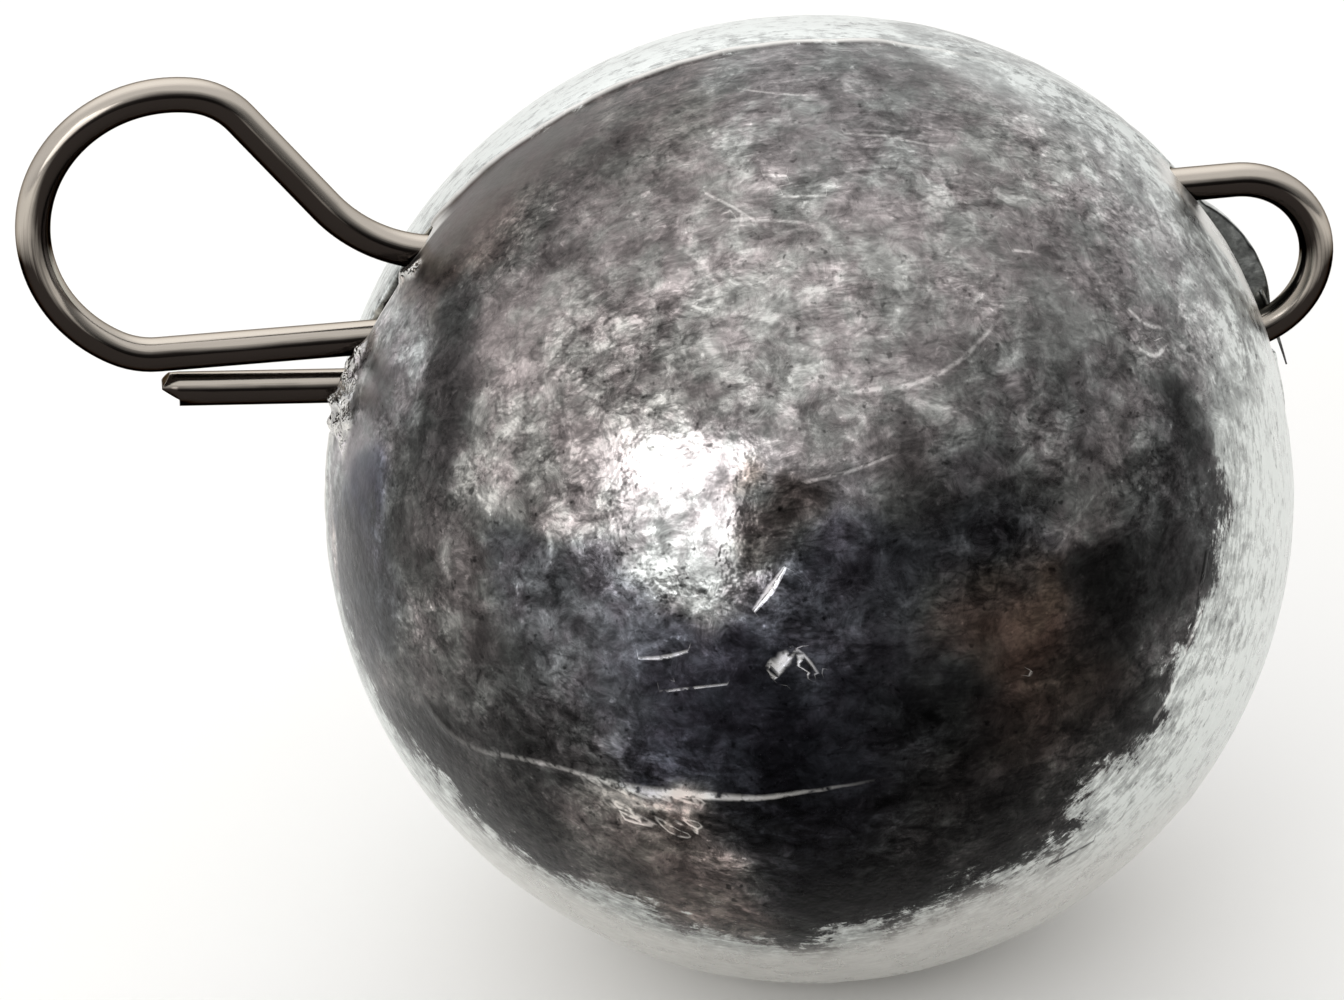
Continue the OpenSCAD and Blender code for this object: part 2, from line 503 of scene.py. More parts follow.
    def layers(self) -> list[Rise | Sum]:
        """The rim's edge, the marks, and the tone of the face and of the rim, whose band is painted
        pale reflection.

        The tone is a sum of logarithms, so that each layer multiplies what lies under it.

        Returns:
            The steps and sums in order.
        """
        return [
            Sum(
                "ragged",
                "rim",
                (
                    ("brushed", self.rim_ragged_mm),
                    ("mottle", self.rim_mottled_mm),
                    ("blotch", self.rim_clouded_mm),
                ),
            ),
            Rise("past_edge", "ragged", -self.rim_edge_mm, self.rim_edge_mm),
            Rise(
                "before_back",
                "ragged",
                self.rim_width_mm + self.rim_blend_mm,
                self.rim_width_mm - self.rim_blend_mm,
            ),
            Rise("risen", "ragged", 0.0, self.rim_rise_mm),
            Sum("past_rim", 0.0, (("past_edge", 1.0, "before_back", "band"),)),
            Rise("pits", "speck", *self.pit_band),
            Rise("flecks", "speck", *self.fleck_band),
            Rise("broken", "speck", *self.broken_band),
            Rise("veined", "vein_gap", *self.vein_band),
            Rise("vein_places", "blotch", *self.vein_place_band),
            Rise("glint", "rubbed", *self.glint_band),
            Rise("score_line", "score_gap", *self.score_band),
            Sum("score", 0.0, (("score_line", 1.0, "score_depth", "broken"),)),
            Sum(
                "face",
                "tone",
                (
                    ("blotch", self.blotch_depth, "grain"),
                    ("mottle", self.mottle_depth, "grain"),
                    ("patch", self.patch_depth, "grain"),
                    ("flake", self.flake_depth, "grain"),
                    ("pits", -self.speck_depth, "grain"),
                    ("flecks", self.fleck_depth, "grain"),
                    ("rubbed", self.rubbed_depth, "streaks"),
                    ("veined", -self.vein_depth, "grain", "vein_places"),
                    ("glint", self.glint_depth, "grain"),
                ),
            ),
            # The edge band's tone is painted pale reflection.
            Sum(
                "edge_band",
                math.log(self.rim_level),
                (
                    ("risen", self.rim_rise),
                    ("brushed", self.brushed_depth),
                    ("cast", self.rim_mottle_depth),
                    ("mottle", self.rim_mottle_depth),
                    ("pits", -self.speck_depth),
                ),
            ),
            # The share of pale colour in the painted pale reflection band and haze.
            Sum("neutral_part", "past_rim", (("pale", 1.0),)),
            # The share of bright colour: rubbed and torn metal and scratches, and painted pale
            # reflection.
            Sum("worn_and_painted_light", "rub_and_painted_light", (("speck", self.torn_wear, "torn"), ("score", self.score_wear))),
            Sum(
                "height",
                0.0,
                (
                    ("cast", self.cast_bump_mm, "grain"),
                    ("grit", self.grit_bump_mm),
                    ("speck", self.torn_bump_mm, "torn"),
                    ("brushed", self.brushed_bump_mm, "past_rim"),
                    ("rubbed", self.rubbed_bump_mm, "streaks"),
                    ("score", -self.score_bump_mm),
                ),
            ),
            Sum("roughness", "dull", (("mottle", self.mottled_roughness, "grain"),)),
            Rise("hue_share", "hue", *self.hue_band),
        ]

    def material(self) -> bpy.types.Material:
        """Builds the material from Object coordinates and the ball's own attributes.

        The colour is e^tone times a tint that runs from blue through neutral to brown, times a
        faint plum or moss cast in broad patches.

        Returns:
            The material.
        """
        material = bpy.data.materials.new(self.name)
        material.use_nodes = True
        tree = material.node_tree
        tree.nodes.clear()
        values = {
            value.value: add_node(
                tree,
                "ShaderNodeAttribute",
                {"attribute_name": value.value},
                output="Vector" if value is Skin.SWIRL else "Fac",
            )
            for value in Skin
        }
        self.grains(tree, values)
        for key, signed in (("vein_gap", "vein"), ("score_gap", Skin.SCORE_ACROSS.value)):
            values[key] = add_node(
                tree, "ShaderNodeMath", {"operation": "ABSOLUTE"}, {0: values[signed]}
            )
        weave(tree, values, self.layers())
        # Past the face's edge the painted pale reflection band takes the place of the face's tone.
        values["layered"] = add_node(
            tree,
            "ShaderNodeMix",
            {"data_type": "FLOAT"},
            {0: values["past_rim"], 2: values["face"], 3: values["edge_band"]},
        )
        marks = (("score", self.score_gain), ("speck", self.torn_gain, "torn"))
        weave(tree, values, [Sum("marked", "layered", marks)])
        capped = add_node(
            tree,
            "ShaderNodeMath",
            {"operation": "MINIMUM"},
            {0: values["marked"], 1: math.log(self.brightest)},
        )
        level = add_node(tree, "ShaderNodeMath", {"operation": "EXPONENT"}, {0: capped})
        tint = add_node(tree, "ShaderNodeValToRGB", {}, {"Fac": values[Skin.WARMTH.value]})
        ramp = tint.node.color_ramp
        ramp.elements[0].color = linear(self.blue)
        ramp.elements[1].color = linear(self.brown)
        ramp.elements.new(0.5).color = linear(self.neutral)
        cast = add_node(
            tree,
            "ShaderNodeMix",
            {"data_type": "RGBA"},
            {0: values["hue_share"], 6: linear(self.plum), 7: linear(self.moss)},
            output=2,
        )
        patina = add_node(
            tree, "ShaderNodeVectorMath", {"operation": "MULTIPLY"}, {0: tint, 1: cast}
        )
        metal = add_node(
            tree,
            "ShaderNodeMix",
            {"data_type": "RGBA"},
            {0: values["neutral_part"], 6: patina, 7: linear(self.pale)},
            output=2,
        )
        tarnish = add_node(
            tree, "ShaderNodeVectorMath", {"operation": "SCALE"}, {0: metal, "Scale": level}
        )
        colour = add_node(
            tree,
            "ShaderNodeMix",
            {"data_type": "RGBA"},
            {0: values["worn_and_painted_light"], 6: tarnish, 7: linear(self.bright)},
            output=2,
        )
        bump = add_node(
            tree,
            "ShaderNodeBump",
            {},
            {"Height": values["height"], "Strength": 1.0, "Distance": MM},
        )
        shader = add_node(
            tree,
            "ShaderNodeBsdfPrincipled",
            {},
            {
                "Base Color": colour,
                "Metallic": 1.0,
                "Roughness": values["roughness"],
                "Normal": bump,
            },
        )
        add_node(tree, "ShaderNodeOutputMaterial", {}, {"Surface": shader})
        return material


@dataclass(frozen=True)
class DrawnSpringWire:
    """Spring-steel wire drawn through a die and bent on pins, with a dark brown-grey oxide.

    Its upper side is painted pale as painted light and its under side dark as painted shade over
    the oxide, with a clean edge between them. Drawing leaves faint lines along it, so reflections
    run as long bands.
    """

    name: str = "spring_wire_drawn"
    # The rubbed colour is painted light on the upper side, and the oxide colour is painted shade
    # over oxide on the under side.
    rubbed: str = "b8b0a6"
    oxide: str = "2b2623"
    edge_tint: str = "8a8580"
    roughness: float = 0.16
    # Lines of the drawing die. Real ones are about 0.01 mm wide, and these are five times as
    # coarse, which is as fine as the render shows.
    line: Grain = Grain(0.05, 2, 0.6, 60.0)
    # Stains of the oxide, drawn out along the wire over a few millimetres.
    stain: Grain = Grain(1.4, 4, 0.6, 3.0)
    line_depth: float = 0.3
    stain_depth: float = 0.5
    # The band of the lit side's value over which painted shade turns to painted light.
    lit_side_band: tuple[float, float] = (-0.15, 0.31)
    line_bump_mm: float = 0.0015

    def material(self) -> bpy.types.Material:
        """Builds the material from the wire's own length and turn, and its side painted as lit.

        The colour turns from painted shade over the oxide to painted light where the lit side's
        value, with the lines and the stain noise added, rises through its band.

        Returns:
            The material.
        """
        material = bpy.data.materials.new(self.name)
        material.use_nodes = True
        tree = material.node_tree
        tree.nodes.clear()
        uv = add_node(tree, "ShaderNodeUVMap", {"uv_map": "wire_mm"})
        values = {
            "painted_light_side": add_node(
                tree, "ShaderNodeAttribute", {"attribute_name": "painted_light_side"}, output="Fac"
            )
        }
        for key in ("line", "stain"):
            grain = getattr(self, key)
            drawn_out = add_node(
                tree,
                "ShaderNodeVectorMath",
                {"operation": "MULTIPLY"},
                {0: uv, 1: (1 / grain.stretch, 1, 1)},
            )
            texture = add_node(
                tree,
                "ShaderNodeTexNoise",
                {},
                {
                    "Vector": drawn_out,
                    "Scale": 1 / grain.size_mm,
                    "Detail": grain.layers,
                    "Roughness": grain.fall,
                },
            )
            values[key] = add_node(
                tree, "ShaderNodeMath", {"operation": "SUBTRACT"}, {0: texture, 1: 0.5}
            )
        # The lit side's value, with the lines and the stain noise added, sets the share of painted
        # light against painted shade.
        terms = (("line", self.line_depth), ("stain", self.stain_depth))
        rows = [Sum("uneven", "painted_light_side", terms), Rise("worn_and_painted_light", "uneven", *self.lit_side_band)]
        weave(tree, values, rows)
        colour = add_node(
            tree,
            "ShaderNodeMix",
            {"data_type": "RGBA"},
            {0: values["worn_and_painted_light"], 6: linear(self.oxide), 7: linear(self.rubbed)},
            output=2,
        )
        bump = add_node(
            tree,
            "ShaderNodeBump",
            {},
            {"Height": values["line"], "Strength": 1.0, "Distance": MM * self.line_bump_mm},
        )
        shader = add_node(
            tree,
            "ShaderNodeBsdfPrincipled",
            {},
            {
                "Base Color": colour,
                "Metallic": 1.0,
                "Roughness": self.roughness,
                "Specular Tint": linear(self.edge_tint),
                "Normal": bump,
            },
        )
        add_node(tree, "ShaderNodeOutputMaterial", {}, {"Surface": shader})
        return material


@dataclass(frozen=True)
class WhiteBoard:
    """Matt white board under the sinker, which gives it a soft shadow and pale reflections."""

    name: str = "white_board_matt"
    colour: str = "f2f1ef"
    roughness: float = 0.9
    specular: float = 0.1

    def material(self) -> bpy.types.Material:
        """Builds the plain matt material.

        Returns:
            The material.
        """
        material = bpy.data.materials.new(self.name)
        material.use_nodes = True
        shader = material.node_tree.nodes["Principled BSDF"]
        shader.inputs["Base Color"].default_value = linear(self.colour)
        shader.inputs["Roughness"].default_value = self.roughness
        shader.inputs["Specular IOR Level"].default_value = self.specular
        return material


# The ball


@dataclass(frozen=True)
class TonePatch:
    """A patch of tone: where it is, how wide, how pale from 0 to 1, and how warm. Most are
    tarnish, and the darkest, on the face towards the camera, are also painted dark reflection.

    Warmth is 0 for blue, 0.5 for neutral and 1 for brown.
    """

    at: Point
    radius: float
    tone: float
    warmth: float = 0.5


@dataclass(frozen=True)
class Swell:
    """A low rise in the cast surface, or a hollow where the height is negative."""

    at: Point
    height: float
    radius: float


@dataclass(frozen=True)
class Zone:
    """A soft-edged part of the ball: along each axis, where it begins and is full, in radii."""

    bounds: tuple[tuple[Axis, float, float], ...]

    def share(self, rays: Array) -> Array:
        """How far each ray lies inside, from 0 to 1: the product of its bounds' smooth steps."""
        return math.prod(ease(rays[..., axis], begins, full) for axis, begins, full in self.bounds)


@dataclass(frozen=True)
class Score:
    """A line in the skin of the near half.

    Each knot of its path is (x, z, width, shine). A positive depth cuts it in and a negative
    one raises it.
    """

    depth: float
    path: tuple[tuple[float, float, float, float], ...]

    @property
    def wide(self) -> bool:
        """Whether the mesh is fine enough to carry the line; the bump carries a finer one."""
        finest_mm = 0.12
        return max(width for _, _, width, _ in self.path) >= finest_mm


@dataclass(frozen=True)
class Lip:
    """A swollen lip of the slot, as the CAD part has it: a small ball behind one wall.

    Its top stands proud of the ball, at an angle up from +X, and the side is -1 for the near
    wall and 1 for the far one.
    """

    r: float
    proud: float
    angle: float
    side: int


@dataclass(frozen=True)
class CastBall:
    """The lead ball: its sizes as the CAD part has them, and the marks on its skin.

    The marks are this casting's own: they are placed where they lie on the real ball.
    """

    # The CAD part's sizes: the ball, the gate's flat, the mismatch of the mould's halves, the
    # flash, and the slot's height above the middle, its width and its height.
    ball_d: float = 25.6
    gate_d: float = 6.0
    half_shift: float = 0.15
    flash_h: float = 0.2
    flash_foot_w: float = 0.5
    flash_crest_w: float = 0.12
    slot_rise: float = 6.0
    slot_w: float = 1.1
    slot_h: float = 5.54
    lips: tuple[Lip, ...] = (Lip(3.8, 0.7, 25.0, 1), Lip(2.4, 0.35, 158.0, -1))
    # The rounding of the slot's edges, the rows and columns of the mesh, and how far the skin
    # lies under the CAD surface, so that its bumps stay inside the part's box.
    rim_round: float = 0.14
    columns: int = 430
    rows: int = 204
    rim_rows: int = 5
    tunnel_rows: int = 12
    skin_margin: float = 0.012
    # The hair of flash: where it starts and ends round the ball, in degrees up from +X, its
    # height off the ball and how much higher it ends, how far it lies past the far lip and how
    # far it crosses the slot, and its thickness and the share of it that is lost by the end.
    hair_from: float = 21.5
    hair_to: float = 11.0
    hair_off: float = 0.38
    hair_lift: float = 0.1
    hair_past_lip: float = 0.06
    hair_cross: float = 0.1
    hair_d: float = 0.18
    hair_taper: float = 0.75
    hair_rows: int = 24
    hair_sides: int = 10
    hair_tone: float = 0.14
    # How far the near half stands proud, by degrees up from +X round the parting line.
    near_rise: tuple[tuple[float, float], ...] = (
        (12, 0.0),
        (24, 0.1),
        (40, 0.13),
        (78, 0.14),
        (95, 0.2),
        (115, 0.27),
        (136, 0.36),
        (150, 0.3),
        (158, 0.2),
        (166, 0.1),
        (176, 0.0),
    )
    # The dark face, tarnish with painted dark reflection, past whose edge the painted pale
    # reflection band begins: its middle's direction, and the half-angle that it covers.
    face_axis: Point = (-0.22, -0.85, 0.48)
    face_angle: float = 61.0
    # Where the skin is polished by handling, and how far round.
    polished_at: Point = (-4.3, -10.9, 5.1)
    polished_mm: float = 3.6
    roughness: float = 0.32
    # The level of the painted pale haze at the upper right.
    haze_tone: float = 0.55
    # A gap to a scratch, in its widths, that stands for none, and a way past the dark face's edge
    # that is well inside it.
    no_score: float = 9.0
    well_inside: float = 30.0
    # Parts of the skin that differ from the rest. At the top the painted pale reflection begins at
    # the parting line, and at the upper right the face fades into a neutral painted pale haze
    # instead of ending in an edge.
    top: Zone = Zone(((Axis.Z, 0.45, 0.62), (Axis.X, 0.35, 0.1), (Axis.Y, 0.8, 0.5)))
    hazy: Zone = Zone(((Axis.Z, 0.3, 0.5), (Axis.X, 0.15, 0.4), (Axis.Y, 0.6, 0.3)))
    upper: Zone = Zone(((Axis.Z, 0.35, 0.8),))
    lower: Zone = Zone(((Axis.Z, 0.75, 0.35),))
    lowest: Zone = Zone(((Axis.Z, 0.2, -0.2),))
    under: Zone = Zone(((Axis.Z, -0.3, -0.6),))
    rear: Zone = Zone(((Axis.Y, 0.1, 0.6),))
    near_under: Zone = Zone(((Axis.Z, -0.3, -0.6), (Axis.Y, 0.5, 0.1)))
    upper_left: Zone = Zone(((Axis.X, 0.35, -0.1), (Axis.Z, -0.1, 0.4)))
    not_right: Zone = Zone(((Axis.X, 0.5, 0.1),))
    right: Zone = Zone(((Axis.X, 0.5, 0.6),))
    right_mouth: Zone = Zone(((Axis.X, 0.7, 0.75),))
    finish: CastLead = field(default_factory=CastLead)

    @property
    def ball_r(self) -> float:
        """Radius of the ball."""
        return self.ball_d / 2

    @property
    def ball_z(self) -> float:
        """Height of the ball's centre above the flat that it stands on."""
        return math.sqrt(self.ball_r**2 - (self.gate_d / 2) ** 2)

    def swells(self) -> list[Swell]:
        """Rises and hollows of this casting: rows of x, y, z, height and radius.

        Returns:
            The swells, which the uneven surface adds up.
        """
        rows = [
            # Broad unevenness of the casting.
            (8.3, 1.4, 9.7, 0.16, 4.5),
            (-7.8, 2.5, 10.1, -0.16, 4.0),
            (-11.2, 1.5, 6.3, -0.26, 2.4),
            (-10.3, 1.6, 7.5, -0.24, 2.0),
            (-10.9, 3.0, -4.0, -0.1, 5.0),
            (6.0, 10.0, -3.0, -0.08, 5.0),
            (-4.0, 11.0, 4.0, 0.05, 5.0),
            # Hollows beside the cuts.
            (-2.6, -12.2, 2.9, -0.07, 0.7),
            (-3.0, -12.3, 3.4, -0.1, 0.32),
            (-2.3, -12.4, 1.2, -0.08, 0.35),
            (-2.2, -11.4, 5.2, -0.06, 0.4),
            (-5.6, -11.2, -2.8, -0.05, 0.5),
            (-4.7, -11.6, -3.0, -0.05, 0.3),
        ]
        return [Swell((x, y, z), *rest) for x, y, z, *rest in rows]

    def rim_shifts(self) -> list[Swell]:
        """Where the dark face ends and the painted pale reflection band begins further out or in:
        rows of x, y, z, shift and radius.

        Returns:
            The shifts as swells. A positive one moves the edge in.
        """
        rows = [
            (-12.6, -1.5, 0.5, -2.2, 4.5),
            (-11.8, -4.1, -2.7, -1.1, 2.6),
            (9.5, -3.0, 8.0, -1.5, 4.0),
            (9.9, -6.9, 4.6, 1.0, 2.2),
            (7.5, -9.7, -2.5, 0.8, 3.0),
            (2.0, -11.2, -5.6, 0.7, 2.5),
            (-3.0, -10.6, -6.5, -0.4, 2.5),
        ]
        return [Swell((x, y, z), *rest) for x, y, z, *rest in rows]

    def smooth_spots(self) -> list[tuple[Point, float]]:
        """Where the mould was smooth and left an even skin.

        Returns:
            The place and the radius of each spot.
        """
        return [
            ((-9.2, -0.9, 8.8), 1.5),
            ((-8.0, -1.3, 9.9), 1.5),
            ((-6.6, -1.0, 10.9), 1.2),
            ((-11.2, -2.6, 5.6), 0.9),
            ((-11.8, -3.2, 3.6), 1.2),
        ]

    def burrs(self) -> list[Swell]:
        """Torn bright lumps on the near lip of the left mouth: rows of x, y, z, height and radius.

        Returns:
            The lumps as swells.
        """
        rows = [
            # Where the neck of the wire lies on the lip.
            (-10.25, -0.85, 7.75, 0.22, 0.26),
            (-9.85, -1.2, 7.9, 0.14, 0.24),
            # Beside the foot and the free end.
            (-11.5, -0.8, 5.75, 0.2, 0.24),
            (-11.65, -0.85, 5.35, 0.28, 0.26),
            (-11.8, -0.9, 4.95, 0.24, 0.28),
            (-11.75, -1.35, 5.0, 0.14, 0.24),
            (-11.9, -1.3, 4.55, 0.26, 0.3),
            (-12.05, -0.85, 4.35, 0.42, 0.3),
            (-11.9, -1.8, 4.2, 0.2, 0.28),
            (-12.05, -1.35, 3.85, 0.26, 0.28),
            (-12.2, -0.85, 3.75, 0.3, 0.28),
            (-12.05, -1.85, 3.6, 0.14, 0.24),
        ]
        return [Swell((x, y, z), *rest) for x, y, z, *rest in rows]

    def scores(self) -> list[Score]:
        """Lines on the near half: rows of a depth and the knots x, z, width and shine.

        Returns:
            The lines. Where two are near a place, the nearer one counts.
        """
        rows = [
            # The flow line, where two streams of metal met.
            (
                -0.05,
                (-11.4, -0.5, 0.10, 0.2),
                (-10.3, -2.0, 0.14, 0.3),
                (-9.6, -2.1, 0.12, 0.3),
                (-8.7, -1.8, 0.13, 0.9),
                (-7.7, -1.7, 0.10, 0.8),
                (-6.8, -1.8, 0.14, 1.2),
                (-5.6, -1.9, 0.22, 1.8),
                (-4.5, -1.8, 0.19, 2.1),
                (-3.1, -1.8, 0.12, 1.9),
                (-2.1, -1.6, 0.09, 1.1),
                (-1.1, -1.45, 0.07, 0.5),
                (0.2, -1.3, 0.07, 0.15),
            ),
            # Cuts and a nick in the middle.
            (-0.06, (-2.2, 4.3, 0.05, 1.8), (-2.6, 3.75, 0.14, 2.6), (-3.1, 3.15, 0.06, 1.6)),
            (-0.07, (-2.05, 2.4, 0.07, 2.0), (-2.4, 2.05, 0.24, 3.0), (-2.7, 1.5, 0.08, 2.0)),
            (-0.03, (-2.05, 2.3, 0.06, 1.6), (-1.8, 2.0, 0.07, 1.6), (-1.55, 1.6, 0.05, 0.8)),
            (-0.04, (-2.1, 2.32, 0.08, 1.6), (-2.6, 2.1, 0.1, 1.8), (-2.85, 1.75, 0.08, 1.0)),
            (-0.03, (-5.9, 1.8, 0.05, 1.0), (-5.2, 1.9, 0.08, 1.6), (-4.5, 2.2, 0.05, 1.2)),
            (0.02, (-5.4, 1.0, 0.05, 1.0), (-4.6, 1.2, 0.05, 1.3), (-3.6, 1.4, 0.04, 0.8)),
            # Long fine scratches.
            (
                -0.02,
                (-0.8, 7.9, 0.09, 0.4),
                (0.2, 7.9, 0.1, 0.6),
                (1.3, 7.9, 0.11, 0.6),
                (2.5, 8.2, 0.1, 0.6),
                (3.6, 8.8, 0.08, 0.4),
            ),
            (-0.02, (-1.7, 6.1, 0.08, 0.4), (-0.5, 6.3, 0.08, 0.6), (0.7, 6.6, 0.07, 0.4)),
            # Short ones near the top.
            (0.02, (-3.2, 11.3, 0.06, 0.4), (-2.4, 11.1, 0.07, 0.5), (-1.8, 10.8, 0.06, 0.4)),
            (0.02, (-1.7, 11.6, 0.09, 0.5), (-1.0, 11.6, 0.08, 0.6)),
            (0.02, (-1.4, 11.3, 0.07, 0.5), (-0.1, 11.3, 0.07, 0.5)),
            (0.02, (-2.9, 10.9, 0.08, 0.5), (-1.7, 10.95, 0.08, 0.5), (-0.7, 10.9, 0.07, 0.4)),
            (0.02, (0.4, 12.1, 0.07, 0.4), (1.4, 12.0, 0.08, 0.5), (3.1, 11.6, 0.06, 0.4)),
            (0.02, (-1.9, 12.5, 0.06, 0.5), (0.2, 12.5, 0.06, 0.5)),
            # Marks at the upper right.
            (-0.02, (4.1, 9.9, 0.07, 0.7), (4.8, 9.7, 0.07, 0.7)),
            (-0.02, (7.0, 8.2, 0.08, 0.6), (7.5, 7.6, 0.1, 0.8), (8.1, 7.3, 0.08, 0.6)),
            (-0.03, (7.2, 7.3, 0.08, 0.7), (7.7, 6.9, 0.11, 0.9), (8.2, 7.0, 0.07, 0.6)),
            # Scratches along the lower right edge.
            (0.04, (8.75, 2.3, 0.1, -0.9), (8.5, 1.4, 0.12, -1.0), (8.3, 0.6, 0.08, -0.8)),
            (-0.04, (8.6, 1.0, 0.08, 0.9), (8.2, 0.3, 0.12, 1.1), (7.9, -0.2, 0.08, 0.8)),
            (-0.04, (7.9, -0.5, 0.08, 0.8), (7.5, -1.2, 0.11, 1.0), (7.0, -1.7, 0.08, 0.7)),
            (0.05, (4.3, -5.5, 0.08, -1.0), (5.1, -5.3, 0.1, -1.2), (5.8, -5.1, 0.07, -0.8)),
            # A bright tick at the right.
            (0.02, (3.6, 0.8, 0.06, 1.3), (3.75, 1.1, 0.06, 1.3)),
            # A shallow groove beside the right mouth.
            (
                0.03,
                (9.0, 8.85, 0.2, -0.3),
                (9.7, 8.1, 0.3, -0.7),
                (10.3, 7.3, 0.3, -0.8),
                (10.9, 6.2, 0.2, -0.5),
            ),
            # Crumbled lead under the flow line.
            (-0.02, (-7.2, -2.1, 0.25, 0.4), (-5.8, -2.35, 0.35, 0.9), (-4.4, -2.25, 0.25, 0.4)),
            (-0.04, (-6.6, -2.6, 0.1, 1.0), (-6.3, -2.55, 0.09, 1.6), (-5.9, -2.85, 0.06, 1.4)),
            (-0.04, (-6.5, -2.85, 0.05, 1.2), (-6.1, -3.0, 0.07, 1.4), (-5.5, -3.05, 0.05, 1.0)),
            (-0.03, (-5.9, -2.9, 0.05, 1.0), (-5.3, -2.95, 0.06, 1.3), (-4.9, -2.8, 0.05, 1.3)),
            (-0.04, (-4.9, -2.75, 0.05, 1.2), (-4.5, -2.9, 0.06, 1.7), (-4.6, -3.2, 0.05, 1.4)),
            (-0.03, (-5.3, -3.1, 0.04, 1.0), (-4.9, -3.3, 0.05, 1.4), (-4.6, -3.2, 0.04, 1.2)),
        ]
        return [Score(depth, tuple(knots)) for depth, *knots in rows]

    def tone_patches(self) -> list[TonePatch]:
        """Tone patches of this casting: rows of x, y, z, radius, tone and warmth. They are tarnish,
        and the dark ones on the near face are also painted dark reflection of the dim room in
        front.

        Returns:
            The patches, from the near side round to the far side.
        """
        rows = [
            # The upper face.
            (-2.0, -6.9, 10.6, 3.2, 0.28, 0.56),
            (4.0, -7.0, 10.0, 3.8, 0.21, 0.54),
            (0.0, -9.0, 9.1, 3.2, 0.43, 0.54),
            (-7.0, -7.4, 7.6, 3.0, 0.3, 0.58),
            (-5.7, -4.6, 10.5, 2.0, 0.13, 0.56),
            (-8.7, -1.2, 9.3, 2.0, 0.11, 0.7),
            (-6.4, -1.0, 11.0, 1.6, 0.08, 0.66),
            (-5.0, -3.0, 11.4, 2.2, 0.08, 0.6),
            (0.5, -4.5, 12.0, 2.5, 0.14, 0.5),
            (1.8, -10.2, 7.5, 2.0, 0.16, 0.54),
            (0.9, -11.4, 5.8, 0.9, 0.05, 0.6),
            (2.0, -11.8, 4.5, 1.7, 0.06, 0.3),
            (5.8, -9.9, 5.7, 1.7, 0.19, 0.56),
            (4.3, -10.0, 6.7, 1.8, 0.15, 0.5),
            (8.3, -7.6, 6.1, 0.55, 0.022, 0.5),
            (5.6, -9.2, 6.9, 0.9, 0.22, 0.45),
            (7.6, -7.0, 7.6, 0.7, 0.24, 0.5),
            (-11.2, -2.1, 5.6, 0.9, 0.6, 0.5),
            (7.7, -9.2, 4.4, 1.7, 0.045, 0.45),
            (8.1, -4.9, 8.6, 2.0, 0.27, 0.5),
            (6.4, -7.2, 8.4, 2.2, 0.14, 0.52),
            # Down the left side.
            (-8.9, -4.2, 8.0, 1.0, 0.058, 0.52),
            (-9.4, -5.0, 6.9, 1.0, 0.058, 0.52),
            (-9.9, -5.6, 5.8, 1.0, 0.05, 0.52),
            (-10.7, -5.9, 4.2, 1.1, 0.058, 0.55),
            (-11.5, -2.6, 5.0, 1.7, 0.28, 0.45),
            (-11.9, -3.9, 3.0, 1.0, 0.06, 0.0),
            (-11.6, -4.8, 1.6, 1.4, 0.04, 0.3),
            # The middle, from left to right, with painted dark reflection where it is darkest.
            (-4.4, -10.8, 5.2, 2.0, 0.4, 0.5),
            (-2.1, -11.5, 5.1, 0.75, 0.03, 0.75),
            (-3.2, -10.9, 6.3, 0.4, 0.12, 0.9),
            (-10.4, -7.4, 1.2, 2.0, 0.1, 0.56),
            (-7.6, -10.1, 1.9, 1.8, 0.095, 0.35),
            (-8.6, -9.5, 0.0, 1.9, 0.036, 0.5),
            (-5.7, -11.3, 2.0, 1.4, 0.11, 0.25),
            (-4.4, -12.0, 0.9, 1.8, 0.033, 0.1),
            (-0.7, -12.3, 3.4, 1.8, 0.09, 0.2),
            (0.4, -12.6, 2.1, 1.5, 0.024, 0.3),
            (2.9, -12.3, 2.0, 1.7, 0.048, 0.98),
            (4.4, -12.0, 0.0, 1.9, 0.017, 0.85),
            (6.4, -10.9, 2.0, 1.5, 0.007, 0.5),
            (7.4, -10.2, 2.6, 1.2, 0.014, 0.45),
            (7.8, -10.1, 0.3, 1.2, 0.05, 0.5),
            (-0.9, -12.8, -0.1, 2.2, 0.01, 0.1),
            (1.6, -12.7, -1.0, 2.0, 0.007, 0.55),
            # The dark lower face: tarnish under painted dark reflection.
            (-2.1, -12.1, -3.5, 1.8, 0.006, 0.15),
            (0.4, -11.9, -4.8, 2.0, 0.01, 0.5),
            (-4.5, -11.2, -4.4, 1.8, 0.12, 0.72),
            (-6.8, -10.0, -4.2, 1.7, 0.09, 0.62),
            (-9.1, -8.2, -3.6, 2.0, 0.02, 0.56),
            (2.9, -11.9, -3.6, 2.0, 0.014, 0.56),
            (5.6, -11.3, -2.2, 1.9, 0.019, 0.56),
            # The rear side and the underside.
            (0.0, 12.0, 4.0, 5.0, 0.33, 0.55),
            (7.0, 9.5, -5.0, 4.0, 0.26, 0.45),
            (-8.0, 9.0, -3.0, 4.5, 0.36, 0.6),
            (1.0, 6.0, -11.0, 4.0, 0.3, 0.5),
        ]
        return [TonePatch((x, y, z), *rest) for x, y, z, *rest in rows]

